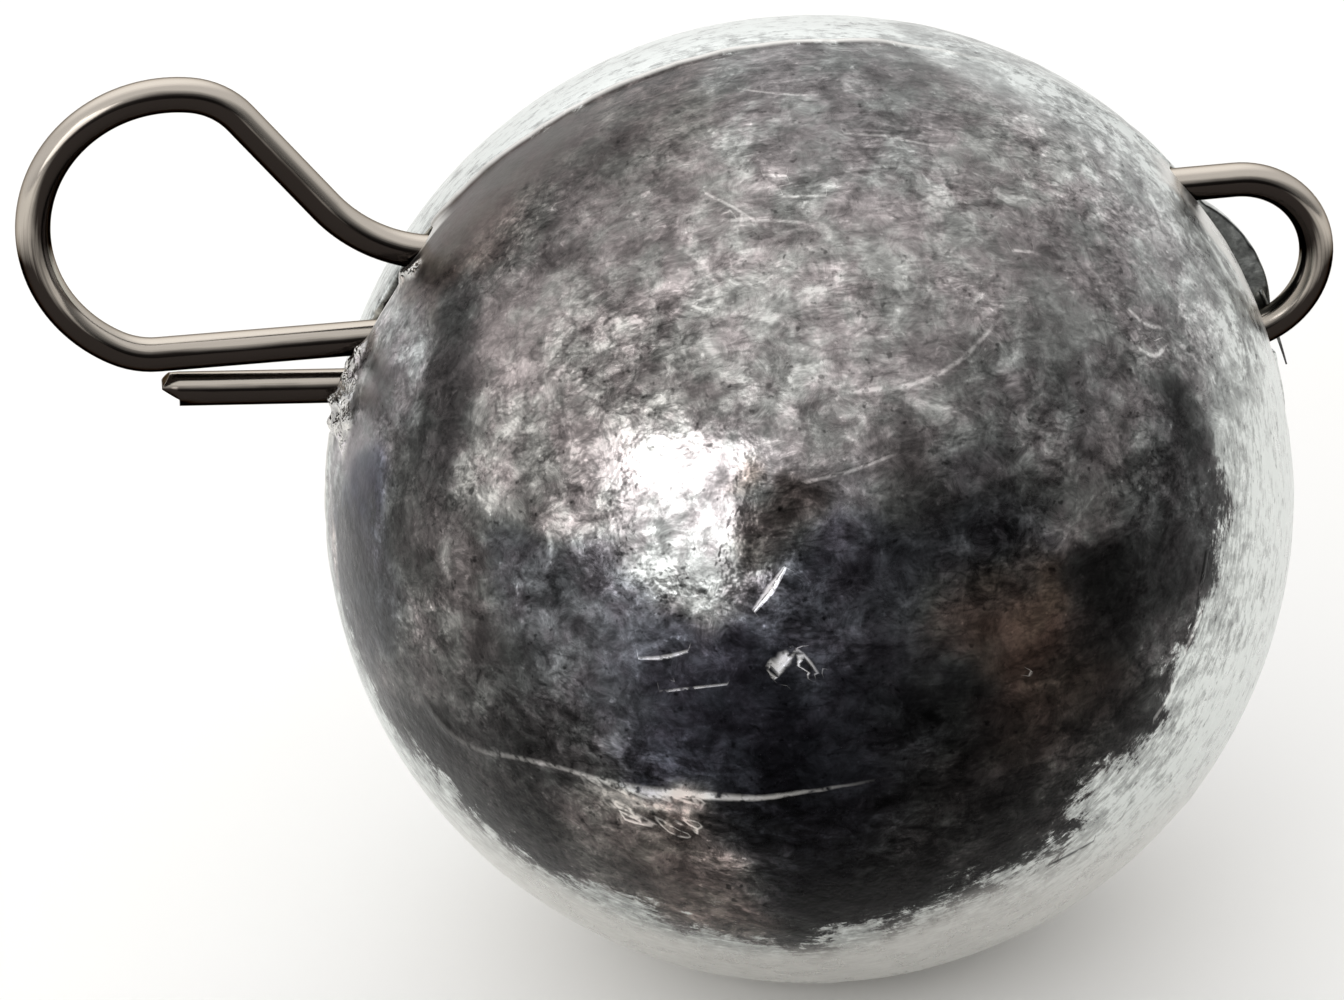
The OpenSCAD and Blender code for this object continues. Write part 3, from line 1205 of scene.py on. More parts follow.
    def lip_height(self, rays: Array, lip: Lip) -> Array:
        """Height of a swollen slot lip above the ball.

        A ray from the centre leaves the lip's small ball at d.c + sqrt(r^2 - c^2 + (d.c)^2), with
        c its centre and d the ray, and the height is what that exceeds the ball's radius by.

        Args:
            rays: unit vectors from the ball's centre.
            lip: the lip's sizes.

        Returns:
            Height above the ball, zero off the lip.
        """
        out = self.ball_r + lip.proud - lip.r
        turn = math.radians(lip.angle)
        middle = np.array([out * math.cos(turn), lip.side * self.slot_w / 2, out * math.sin(turn)])
        along = rays @ middle
        reach = lip.r**2 - middle @ middle + along**2
        height = along + np.sqrt(np.maximum(reach, 0)) - self.ball_r
        height = np.where(reach > 0, np.maximum(height, 0), 0)
        return height * ease(lip.side * rays[..., Axis.Y] * self.ball_r, -0.02, 0.1)

    def flash(self, rays: Array) -> Array:
        """Height of the flash along the parting line.

        Across the line it falls from the crest's width to the foot's. Along it the height wanders
        with noise. It is highest over the upper left, and rubbed low elsewhere.

        Args:
            rays: unit vectors from the ball's centre.

        Returns:
            Height above the ball, zero off the flash.
        """
        across = np.abs(rays[..., Axis.Y]) * self.ball_r
        profile = ease(across, self.flash_foot_w / 2, self.flash_crest_w / 2)
        ring = self.ball_r * unit(rays * np.array([1, 0, 1]))
        wander = lattice_noise(ring, 1.3, Seed.FLASH)
        wander += 0.4 * lattice_noise(ring, 0.4, Seed.FLASH_FINE)
        kept = 0.3 + 0.3 * self.upper_left.share(rays)
        return self.flash_h * profile * np.clip(kept * (0.8 + 0.35 * wander), 0.05, 1)

    def step(self, rays: Array) -> Array:
        """Height of the near half above the rear one, where the mould had slipped.

        It is read round the parting line, starts there, and dies away over 6 mm of the near half.

        Args:
            rays: unit vectors from the ball's centre.

        Returns:
            Height above the ball, zero on the rear half.
        """
        turn = np.degrees(np.arctan2(rays[..., Axis.Z], rays[..., Axis.X]))
        angle, height = np.array(self.near_rise).T
        across = rays[..., Axis.Y] * self.ball_r
        return np.interp(turn, angle, height) * ease(across, 0.05, -0.02) * ease(across, -6.0, -0.6)

    def waviness(self, rays: Array) -> Array:
        """Unevenness of the cast skin: a sum of noises, each finer and lower than the last.

        Args:
            rays: unit vectors from the ball's centre.

        Returns:
            Height above the ball.
        """
        places = rays * self.ball_r
        octaves = ((6.0, 0.035), (2.6, 0.02), (1.2, 0.018), (0.6, 0.011))
        return sum(
            depth * lattice_noise(places, size, Seed.WAVES + i)
            for i, (size, depth) in enumerate(octaves)
        )

    def gap(self, places: Array, at: Point) -> Array:
        """Distance from each place to a mark, whose middle is first moved onto the ball."""
        return np.linalg.norm(places - self.ball_r * unit(np.array(at)), axis=-1)

    def raised(self, places: Array, swells: list[Swell]) -> Array:
        """Sum of the swells, each its height times e^-(gap / radius)^2."""
        return sum(s.height * bell(self.gap(places, s.at), s.radius) for s in swells)

    def radius(self, rays: Array) -> Array:
        """Distance from the ball's centre to its surface.

        The heights of the cast skin add up on the ball, the lips stand out where they are higher,
        and the flat underneath and the ball's width cut the sum off.

        Args:
            rays: unit vectors from the ball's centre.

        Returns:
            The distance along each ray.
        """
        places = rays * self.ball_r
        height = self.half_shift * rays[..., Axis.X] * ease(places[..., Axis.Y], -0.03, 0.03)
        height += self.waviness(rays) + self.raised(places, self.swells() + self.burrs())
        for score in self.scores():
            if score.wide:
                across, shine = self.score_gap(places, score)
                height -= score.depth * ease(np.abs(shine), 0, 0.4) * bell(across, 1)
        height += self.flash(rays) + self.step(rays)
        for lip in self.lips:
            height = np.maximum(height, self.lip_height(rays, lip))
        reach = self.ball_r - self.skin_margin + height
        widest = self.ball_r - self.skin_margin
        reach = np.minimum(reach, widest / np.maximum(np.abs(rays[..., Axis.Y]), 0.5))
        down = np.maximum(-rays[..., Axis.Z], 0.5)
        return np.minimum(reach, self.ball_z / down)

    def score_gap(self, places: Array, score: Score) -> tuple[Array, Array]:
        """Gap from each place to a line in the skin, in widths of the line, and its shine there.

        The line is a smooth curve through its knots, cut into short chords. The gap is measured
        across the nearest chord and divided by the width there, and the shine eases to zero at
        both ends and far from the line.

        Args:
            places: points of the ball's surface.
            score: the line.

        Returns:
            The signed gaps in widths, and the shine.
        """
        knots = np.array(score.path)
        steps = np.linspace(0, len(knots) - 1, 10 * (len(knots) - 1) + 1)
        x, z, width, shine = (
            np.interp(steps, np.arange(len(knots)), column) for column in knots.T
        )
        line = np.stack([x, -np.sqrt(np.maximum(self.ball_r**2 - x * x - z * z, 0)), z], 1)
        for _ in range(12):
            line[1:-1] = (line[:-2] + 2 * line[1:-1] + line[2:]) / 4
        line = self.ball_r * unit(line)
        across = np.full(places.shape[:-1], self.no_score)
        bright = np.zeros(places.shape[:-1])
        middle = line.mean(0)
        reach = np.linalg.norm(line - middle, axis=-1).max() + 1
        near = np.linalg.norm(places - middle, axis=-1) < reach
        spots = places[near]
        if not len(spots):
            return across, bright
        chords = line[1:] - line[:-1]
        offsets = spots[:, None, :] - line[None, :-1, :]
        share = np.clip(np.sum(offsets * chords, -1) / np.sum(chords**2, -1), 0, 1)
        nearest = np.linalg.norm(offsets - share[..., None] * chords, axis=-1)
        pick = np.argmin(nearest, axis=1)
        every = np.arange(len(spots))
        share, nearest = share[every, pick], nearest[every, pick]
        sideways = unit(np.cross(chords, line[:-1]))[pick]
        gap = np.sum(offsets[every, pick] * sideways, -1)
        walked = (pick + share) / len(chords)
        past_end = nearest - np.abs(gap)
        across[near] = gap / np.interp(walked, np.linspace(0, 1, len(width)), width)
        fade = ease(walked, 0, 0.1) * ease(walked, 1, 0.9) * ease(past_end, 0.2, 0.05)
        bright[near] = fade * np.interp(walked, np.linspace(0, 1, len(shine)), shine)
        return across, bright

    def stadium(self, turn: Array) -> Array:
        """Distance from the slot's middle line to its wall, at each turn round that line.

        The outline is two flat walls joined by half circles. A direction meets a wall at half
        the width over its cosine, or else the half circle whose centre is up or down the slot.

        Args:
            turn: turn from +Y towards +Z.

        Returns:
            The distance at each turn.
        """
        half_w = self.slot_w / 2
        flat = self.slot_h / 2 - half_w
        cosine, sine = np.abs(np.cos(turn)), np.abs(np.sin(turn))
        wall = half_w / np.maximum(cosine, 1e-9)
        end = flat * sine + np.sqrt(np.maximum(half_w**2 - (flat * cosine) ** 2, 0))
        return np.where(wall * sine <= flat, wall, end)

    def on_leaf(self, turn: Array, angle: Array, reach: Array) -> Array:
        """Points of the surface on half-planes hinged on the slot's middle line.

        Such a plane cuts a ball of radius r in a circle of radius sqrt(r^2 - (rise cos turn)^2)
        whose centre lies -rise sin(turn) out from the hinge, and the angle runs round that circle
        from -X.

        Args:
            turn: turn of each half-plane, from +Y towards +Z.
            angle: angle round the circle.
            reach: radius of the surface there.

        Returns:
            Points from the ball's centre.
        """
        circle = np.sqrt(reach**2 - (self.slot_rise * np.cos(turn)) ** 2)
        out = circle * np.sin(angle) - self.slot_rise * np.sin(turn)
        x = -circle * np.cos(angle)
        return np.stack([x, out * np.cos(turn), self.slot_rise + out * np.sin(turn)], -1)

    def settle(self, turn: Array, angle: Array) -> Array:
        """Points of the uneven surface: the radius is looked up again where the point lands.

        Args:
            turn: turn of each half-plane.
            angle: angle round its circle.

        Returns:
            Points from the ball's centre.
        """
        reach = np.full(np.broadcast(turn, angle).shape, self.ball_r)
        for _ in range(2):
            reach = self.radius(unit(self.on_leaf(turn, angle, reach)))
        return self.on_leaf(turn, angle, reach)

    def mouth(self, turn: Array, side: int) -> tuple[Array, Array]:
        """Where the slot's wall meets the uneven surface.

        Args:
            turn: turn of each half-plane.
            side: -1 for the left mouth and 1 for the right one.

        Returns:
            The angle round each circle, and the corner points.
        """
        reach = np.full(turn.shape, self.ball_r)
        for _ in range(4):
            circle = np.sqrt(reach**2 - (self.slot_rise * np.cos(turn)) ** 2)
            height = (self.stadium(turn) + self.slot_rise * np.sin(turn)) / circle
            angle = np.arcsin(np.clip(height, -1, 1))
            if side > 0:
                angle = math.pi - angle
            corner = self.on_leaf(turn, angle, reach)
            reach = self.radius(unit(corner))
        return angle, corner

    def surface(self) -> Array:
        """The whole ball as one closed grid: over the outside and back through the slot.

        Returns:
            Points from the ball's centre, by row and column.
        """
        # Columns crowd at the parting line, above and below, and a little over the near side.
        crowds = [(0.5 * math.pi, 0.03, 9.0), (1.5 * math.pi, 0.03, 6.0), (math.pi, 1.2, 0.5)]
        spin = spread(0, 2 * math.pi, self.columns + 1, crowds)[:-1]
        turn = np.arctan2(self.ball_r * np.sin(spin) - self.slot_rise, self.ball_r * np.cos(spin))
        left_angle, left_corner = self.mouth(turn, -1)
        right_angle, right_corner = self.mouth(turn, 1)
        # The slot's edges are unevenly round, and rows crowd beside them.
        bevel = self.rim_round * (1 + 0.5 * np.sin(5 * turn) * np.cos(3 * turn))
        share = spread(0, 1, self.rows, [(0, 0.03, 1.5), (1, 0.03, 1.5)])[:, None]
        start = left_angle + bevel / self.ball_r
        end = right_angle - bevel / self.ball_r
        angle = start + share * (end - start)
        outside = self.settle(np.broadcast_to(turn, angle.shape), angle)
        inward = np.array([1.0, 0, 0]) * bevel[:, None]
        right_in, left_in = right_corner - inward, left_corner + inward
        step = np.linspace(0, 1, self.rim_rows + 2)[1:, None, None]

        def rounded(first: Array, corner: Array, last: Array) -> Array:
            """A curve from first to last that bends round the corner, without its first point."""
            return (1 - step) ** 2 * first + 2 * step * (1 - step) * corner + step**2 * last

        right_rim = rounded(outside[-1], right_corner, right_in)
        left_rim = rounded(left_in, left_corner, outside[0])[:-1]
        through = np.linspace(0, 1, self.tunnel_rows)[1:, None, None]
        tunnel = right_in + through * (left_in - right_in)
        return np.concatenate([outside, right_rim, tunnel, left_rim])

    def hair(self) -> Array:
        """A hair of flash that hangs from the far lip of the right mouth, as rings along it.

        It runs round the ball a little way off its surface, and thins towards its free end. Each
        ring is a circle across the path, and the two at the ends are flat so that they close.

        Returns:
            Points from the ball's centre, by ring and side.
        """
        share = np.linspace(0, 1, self.hair_rows)
        turn = np.radians(self.hair_from + share * (self.hair_to - self.hair_from))
        out = self.ball_r + self.hair_off + self.hair_lift * share**2
        across = self.slot_w / 2 + self.hair_past_lip - self.hair_cross * share
        path = np.stack([out * np.cos(turn), across, out * np.sin(turn)], 1)
        along = unit(np.gradient(path, axis=0))
        left = unit(np.stack([-along[:, Axis.Z], np.zeros_like(share), along[:, Axis.X]], 1))
        width = self.hair_d / 2 * (1 - self.hair_taper * share)
        around = np.linspace(0, 2 * math.pi, self.hair_sides, endpoint=False)
        open_rings = np.ones_like(share)
        open_rings[[0, -1]] = 0
        ring = np.cos(around)[:, None] * left[:, None, :]
        ring = ring + (open_rings[:, None] * np.sin(around))[..., None] * np.array([0, 1, 0])
        return path[:, None, :] + width[:, None, None] * ring

    def wander(self, places: Array) -> Array:
        """Noise that leads outlines on the skin astray.

        Args:
            places: points of the ball's surface.

        Returns:
            Three values for each place.
        """
        noises = [
            0.9 * lattice_noise(places, 2.4, Seed.WANDER + k)
            + 0.4 * lattice_noise(places, 0.9, Seed.WANDER_FINE + k)
            for k in range(3)
        ]
        return np.stack(noises, -1)

    def tarnish(self, strayed: Array) -> tuple[Array, Array]:
        """Tone as a logarithm, and warmth: tarnish, with painted dark reflection on the near face.

        Each is the mean over the tone patches, weighted by e^-(gap / radius)^3.

        Args:
            strayed: places that noise has led astray, so that the patches have ragged outlines.

        Returns:
            The tones and the warmths.
        """
        weight = np.full(strayed.shape[:-1], 1e-9)
        tone = weight * math.log(0.2)
        warmth = weight * 0.5
        for stain in self.tone_patches():
            pull = bell(self.gap(strayed, stain.at), stain.radius, 3)
            weight += pull
            tone += pull * math.log(stain.tone)
            warmth += pull * stain.warmth
        return tone / weight, warmth / weight

    def grain(self, rays: Array, polished: Array) -> Array:
        """How strongly the grain shows.

        It is stronger low down and where the skin is polished, weaker on the rear, and nearly
        gone where the mould was smooth.

        Args:
            rays: unit vectors from the ball's centre.
            polished: share of polish, from 0 to 1.

        Returns:
            One factor for each ray.
        """
        places = rays * self.ball_r
        strong = 1.15 + 0.5 * polished
        strong += 0.4 * self.lower.share(rays) + 0.35 * self.lowest.share(rays)
        strong *= 1 + 0.45 * lattice_noise(places, 2.2, Seed.GRAIN)
        strong *= 1 - 0.4 * self.rear.share(rays)
        smooth = sum(
            bell(np.linalg.norm(places - np.array(at), axis=-1), radius, 4)
            for at, radius in self.smooth_spots()
        )
        return strong * (1 - 0.8 * np.clip(smooth, 0, 1))

    def inside(self, points: Array) -> Array:
        """Share of painted shade in the slot.

        Args:
            points: points from the ball's centre.

        Returns:
            1 inside the slot and on the far lip's face in the right mouth, and 0 outside.
        """
        out = np.linalg.norm(points, axis=-1)
        # Painted shade deep in the slot.
        deep = ease(out, self.ball_r - 0.35, self.ball_r - 0.9)
        # Painted shade on the far lip's face in the right mouth.
        wall = ease(np.abs(points[..., Axis.Y] - self.slot_w / 2), 0.1, 0.03)
        wall *= self.right_mouth.share(unit(points))
        half = self.slot_h / 2
        wall *= ease(np.abs(points[..., Axis.Z] - self.slot_rise), half + 0.3, half)
        wall *= ease(out, self.ball_r + 0.1, self.ball_r + 0.3)
        return np.maximum(deep, wall)

    def past_edge(self, points: Array, rim: Array) -> Array:
        """How far each point lies past the dark face's edge, into the painted pale reflection band,
        in millimetres.

        Args:
            points: points from the ball's centre.
            rim: how far it lies past the plain circle round the face.

        Returns:
            The distances, which at the top are read from the parting line instead.
        """
        rays = unit(points)
        edge = rim + self.raised(rays * self.ball_r, self.rim_shifts())
        from_parting = np.clip(2 * (points[..., Axis.Y] - 0.1), -3, 3)
        return edge + self.top.share(rays) * (from_parting - edge)

    def burred(self, places: Array) -> Array:
        """Share of torn metal.

        Args:
            places: points of the ball's surface.

        Returns:
            1 on the burrs and 0 a little way off them.
        """
        burrs = [
            ease(self.gap(places, burr.at), 1.7 * burr.radius, 0.6 * burr.radius)
            for burr in self.burrs()
        ]
        return np.max(burrs, axis=0)

    def rubbed(self, points: Array, edge: Array, torn: Array, wander: Array) -> Array:
        """Share of bright metal colour: bare metal, and painted pale reflection.

        It shows as bare metal on the crest of the flash and on the burrs. In a thin line on the
        near lip of each mouth and in a strip beside the right mouth it is bare metal with painted
        pale reflection, and under the ball past the dark face's edge it is painted reflection of
        the board.

        Args:
            points: points from the ball's centre.
            edge: way past the dark face's edge.
            torn: share of torn metal.
            wander: noise for ragged outlines.

        Returns:
            The largest of the five shares at each point.
        """
        rays = unit(points)
        y = points[..., Axis.Y]
        on_ball = rays * self.ball_r
        half = self.slot_h / 2
        beside_slot = ease(np.abs(on_ball[..., Axis.Z] - self.slot_rise), half + 0.5, half)
        crest = ease(np.abs(y + 0.05), 0.15, 0.06) * self.not_right.share(rays)
        width = np.where(rays[..., Axis.X] > 0, 0.35, 0.18)
        # Painted pale reflection along the near lips, over bare metal.
        lip = beside_slot * ease(-y - self.slot_w / 2, width, 0.5 * width) * ease(y, 0, -0.2)
        # Painted reflection of the board under the ball.
        underside = ease(edge, 0.1, 1.0) * self.near_under.share(rays)
        # A strip of painted pale reflection beside the right mouth, over bare metal.
        strip = beside_slot * self.right.share(rays)
        strip *= ease(on_ball[..., Axis.Y] - 0.5 * wander[..., 1], -2.1, -1.7)
        strip *= ease(on_ball[..., Axis.Y], -0.4, -0.6) * (0.85 + 0.3 * wander[..., 0])
        return np.max([0.75 * crest, 0.8 * lip, 0.8 * underside, strip, 0.8 * torn], axis=0)

    def scratched(self, places: Array) -> tuple[Array, Array]:
        """The nearest scratch at each place, reckoned in widths.

        Args:
            places: points of the ball's surface.

        Returns:
            The signed gap to it in widths, and its shine, which ends 4 widths off.
        """
        across = np.full(places.shape[:-1], self.no_score)
        shine = np.zeros(places.shape[:-1])
        for score in self.scores():
            gap, bright = self.score_gap(places, score)
            closer = (np.abs(gap) < np.abs(across)) & (bright != 0)
            across = np.where(closer, gap, across)
            shine = np.where(closer, bright, shine)
        return across, shine * ease(np.abs(across), 4.0, 3.0)

    def skin(self, points: Array) -> dict[str, Array]:
        """Values that the material reads: tarnish with painted dark reflection and painted shade,
        grain, rubbed metal with painted pale reflection, and scratches.

        The way past the face's plain circle is the arc r * angle less the face's own. The
        brushing is read at a place made of the direction round the face and of that way.

        Args:
            points: points from the ball's centre.

        Returns:
            A value or a vector for each point, by attribute name.
        """
        rays = unit(points)
        places = rays * self.ball_r
        wander = self.wander(places)
        tone, warmth = self.tarnish(places + wander)
        from_polish = np.linalg.norm(places - np.array(self.polished_at), axis=-1)
        polished = bell(from_polish, self.polished_mm)
        grain = self.grain(rays, polished)
        inside = self.inside(points)
        torn = self.burred(places)
        axis = unit(np.array(self.face_axis))
        cosine = rays @ axis
        rim = self.ball_r * (np.arccos(np.clip(cosine, -1, 1)) - math.radians(self.face_angle))
        edge = self.past_edge(points, rim)
        # The pale haze at the upper right is painted pale reflection.
        haze = self.hazy.share(rays)
        pale = ease(haze, 0.0, 0.08) * ease(edge, -0.4 - 2.0 * haze, 0.4 + 1.2 * haze)
        edge *= 1 - 0.45 * self.under.share(rays)
        across, shine = self.scratched(places)
        arc = self.ball_r * math.sin(math.radians(self.face_angle)) / self.finish.brushed.stretch
        streaks = self.upper.share(rays) * grain * (0.3 + ease(wander[..., 2], -0.3, 0.4))
        return {
            # The tone holds the patches' tarnish with painted dark reflection, the painted pale
            # haze, and painted shade in the slot and on the far lip's face in the right mouth.
            Skin.TONE.value: (1 - pale) * tone + pale * math.log(self.haze_tone) - 1.6 * inside,
            Skin.WARMTH.value: 0.5 + (warmth - 0.5) * ease(edge, 0.5, -0.5),
            Skin.GRAIN.value: grain,
            Skin.STREAKS.value: streaks,
            Skin.DULL.value: self.roughness - 0.2 * polished - 0.12 * torn,
            # Bright metal colour: bare metal, and painted pale reflection on the near lips and
            # under the ball.
            Skin.RUB_AND_PAINTED_LIGHT.value: self.rubbed(points, edge, torn, wander) * (1 - inside),
            Skin.PALE.value: pale,
            Skin.RIM.value: edge - self.well_inside * inside,
            Skin.BAND.value: 1 - ease(haze, 0.0, 0.5),
            Skin.SWIRL.value: arc * unit(rays - cosine[..., None] * axis) + rim[..., None] * axis,
            Skin.SCORE_ACROSS.value: across,
            Skin.SCORE_DEPTH.value: shine,
            Skin.TORN.value: torn,
        }

    def dress(
        self, name: str, points: Array, faces: Array, skin: dict[str, Array]
    ) -> bpy.types.Object:
        """Makes one lead piece, gives it its finish and puts it in the frame.

        Args:
            name: the piece's name.
            points: points from the ball's centre, by row and column.
            faces: vertex numbers of its faces.
            skin: the material's values at the points.

        Returns:
            The piece.
        """
        lifted = points.reshape(-1, 3) + np.array([0, 0, self.ball_z])
        flat = {key: values.reshape(len(lifted), *values.shape[2:]) for key, values in skin.items()}
        piece = mesh_object(name, lifted, faces, flat)
        piece.data.materials.append(self.finish.material())
        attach(piece, "ball")
        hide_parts("lead_ball")
        return piece

    def build(self) -> list[bpy.types.Object]:
        """Makes the ball, and its hair of flash in plain dark tarnish.

        Returns:
            The two pieces.
        """
        ball, hair = self.surface(), self.hair()
        ball_faces = ring_faces(*ball.shape[:2], closed=True)
        hair_faces = sewn(ring_faces(*hair.shape[:2], closed=False), *hair.shape[:2])
        dark = self.skin(hair)
        dark[Skin.TONE.value][:] = math.log(self.hair_tone)
        dark[Skin.RIM.value][:] = -self.well_inside
        dark[Skin.RUB_AND_PAINTED_LIGHT.value][:] = 0
        return [
            self.dress("cast_lead_ball", ball, ball_faces, self.skin(ball)),
            self.dress("flash_hair", hair, hair_faces, dark),
        ]


# The wire


@dataclass(frozen=True)
class SpringClip:
    """The bent wire: the same bend table as the CAD part, swept as one tube.

    A tuck is a length inside the ball, an out one outside it, a lean and a turn are degrees, and
    the nose is the wire's nipped end, with its edge a little off the axis.
    """

    ball_r: float = 12.8
    ball_z: float = 12.4435
    slot_rise: float = 6.0
    wire_d: float = 0.9
    nose_edge_off: float = 0.13
    nose_long_bevel: float = 35.0
    nose_short_bevel: float = 56.0
    eye_inner_d: float = 3.54
    eye_stand_out: float = 0.1
    top_lean: float = 0.7
    bottom_lean: float = 1.6
    loop_inner_d: float = 6.4
    shoulder_r: float = 1.9
    shoulder_turn: float = 43.0
    heel_r: float = 2.1
    heel_turn: float = 30.0
    neck_r: float = 3.9
    neck_climb: float = 52.5
    neck_tuck: float = 0.75
    foot_gap: float = 0.4
    foot_tuck: float = 6.8
    tail_out: float = 3.7
    tail_bend_r: float = 20.0
    tail_lift: float = 2.4
    tail_tuck: float = 0.8
    # The mesh: points round the wire, the step along a bend, the rings of a nose and how soon
    # they close, and how far the skin lies under the CAD surface.
    sides: int = 44
    step: float = 0.16
    nose_rows: int = 5
    nose_closing: float = 0.8
    skin_margin: float = 0.002
    # The side painted as lit, as a direction that is longer the more quickly the painted light
    # changes sides where the wire turns, and the near face's share of it.
    lit_side: Point = (-0.1, 0.0, 2.0)
    near_share: float = 0.5
    finish: DrawnSpringWire = field(default_factory=DrawnSpringWire)

    @property
    def eye_r(self) -> float:
        """Radius of the eye to the wire's axis."""
        return (self.eye_inner_d + self.wire_d) / 2

    @property
    def nose_l(self) -> float:
        """Length of the nipped nose: that of the longer of its two bevels.

        Returns:
            The rise over the tangent of the bevel, the larger of the two.
        """
        near = (self.wire_d / 2 - self.nose_edge_off, self.nose_long_bevel)
        far = (self.wire_d / 2 + self.nose_edge_off, self.nose_short_bevel)
        return max(rise / math.tan(math.radians(bevel)) for rise, bevel in (near, far))

    def mouth_x(self, z: float) -> float:
        """Distance from the ball's upright axis to its surface at a height above its centre."""
        return math.sqrt(self.ball_r**2 - z**2)

    def trace(self, start: Point, rows: list[Point]) -> Array:
        """Poses along the wire from a bend table.

        A row is (feed, bend radius, turn). A feed moves along the heading. A bend moves by
        r times the change of (sin, -cos) of the heading and adds the turn to it.

        Args:
            start: x, z and heading in degrees at the start.
            rows: the bend table.

        Returns:
            Poses as rows of (x, z, heading in degrees).
        """
        poses = [np.array([start])]
        for feed, r, turn in rows:
            x, z, heading = poses[-1][-1]
            ahead = math.radians(heading)
            if feed > 0:
                count = max(2, round(feed / (4 * self.step)))
                way = feed * np.linspace(0, 1, count)[1:]
                same = np.full(len(way), heading)
                poses.append(
                    np.stack([x + way * math.cos(ahead), z + way * math.sin(ahead), same], 1)
                )
                x, z, _ = poses[-1][-1]
            if turn:
                side = math.copysign(r, turn)
                count = max(3, round(math.radians(abs(turn)) * r / self.step))
                headings = heading + turn * np.linspace(0, 1, count)[1:]
                later = np.radians(headings)
                along = x + side * (np.sin(later) - math.sin(ahead))
                up = z + side * (math.cos(ahead) - np.cos(later))
                poses.append(np.stack([along, up, headings], 1))
        return np.concatenate(poses)

    def centreline(self) -> Array:
        """The wire's whole way: the loop's foot, the loop, the neck, the eye and the free end.

        Two bend tables start at the eye's outermost point and run from it to the two ends.

        Returns:
            Poses as rows of (x, z, heading in degrees), without the noses.
        """
        eye_x = self.mouth_x(self.slot_rise) + self.eye_stand_out
        tip_up = (eye_x + self.eye_r, self.slot_rise, 90.0)
        tip_down = (eye_x + self.eye_r, self.slot_rise, -90.0)

        tail_x = -self.mouth_x(self.slot_rise - self.eye_r) + self.tail_tuck
        lean = math.radians(self.bottom_lean)
        bottom_leg = (eye_x - self.eye_r * math.sin(lean) - tail_x) / math.cos(lean)
        tail_rows = [
            (0, self.eye_r, -90 - self.bottom_lean),
            (bottom_leg, self.tail_bend_r, -self.tail_lift),
            (self.tail_tuck + self.tail_out - self.nose_l, 0, 0),
        ]
        down = self.trace(tip_down, tail_rows)
        tail_start_z = self.trace(tip_down, tail_rows[:2])[-1, 1]

        neck_x = -self.mouth_x(self.slot_rise + self.eye_r) + self.neck_tuck
        lean = math.radians(self.top_lean)
        top_leg = (eye_x - self.eye_r * math.sin(lean) - neck_x) / math.cos(lean)
        foot_z = tail_start_z + self.wire_d + self.foot_gap

        def loop_rows(neck_l: float) -> list[Point]:
            """The bend table from the eye as far as the foot.

            Args:
                neck_l: length of the straight part of the neck.

            Returns:
                Rows of feed, bend radius and turn.
            """
            rest = 180 + self.neck_climb - self.shoulder_turn - self.heel_turn
            return [
                (0, self.eye_r, 90 + self.top_lean),
                (top_leg, self.neck_r, -self.neck_climb - self.top_lean),
                (neck_l, self.shoulder_r, self.shoulder_turn),
                (0, (self.loop_inner_d + self.wire_d) / 2, rest),
                (0, self.heel_r, self.heel_turn),
            ]

        short = self.trace(tip_up, loop_rows(0))[-1, 1]
        neck_l = (foot_z - short) / math.sin(math.radians(self.neck_climb))
        foot_x = self.trace(tip_up, loop_rows(neck_l))[-1, 0]
        foot_l = self.foot_tuck - self.mouth_x(foot_z) - foot_x - self.nose_l
        up = self.trace(tip_up, [*loop_rows(neck_l), (foot_l, 0, 0)])
        backwards = up[::-1].copy()
        backwards[:, 2] += 180
        return np.concatenate([backwards[:-1], down])

    def nose(self, pose: Array, ahead: float, edge: float, ring: Array) -> Array:
        """Rings of a nipped end, from the full ring to the line that the cutters leave.

        Each point of the ring runs ahead to the nearer of two bevels that meet in an edge, and
        the rings then close across the wire onto that line.

        Args:
            pose: x, z and heading where the nose starts.
            ahead: 1 if the nose points along the heading and -1 if against it.
            edge: how far the edge lies off the axis, towards the heading's left.
            ring: in-plane and sideways offsets of the ring's points.

        Returns:
            Points by ring and side.
        """
        heading = math.radians(pose[2])
        forward = ahead * np.array([math.cos(heading), 0, math.sin(heading)])
        left = np.array([-math.sin(heading), 0, math.cos(heading)])
        off = (ring[:, 0] - edge) * (1 if edge <= 0 else -1)
        bevel = np.where(off > 0, self.nose_long_bevel, self.nose_short_bevel)
        run = self.nose_l - np.abs(off) / np.tan(np.radians(bevel))
        run = np.clip(run, 0.0, None)
        base = np.array([pose[0], 0, pose[1]])
        closing = np.linspace(0, 1, self.nose_rows + 1)[1:] ** self.nose_closing
        shrink = np.concatenate([[1.0], 1 - closing])
        moved = np.minimum(np.arange(len(shrink)), 1)[:, None, None]
        sideways = shrink[:, None, None] * ring[:, 1:] * np.array([0, 1, 0])
        return base + moved * run[:, None] * forward + ring[:, :1] * left + sideways

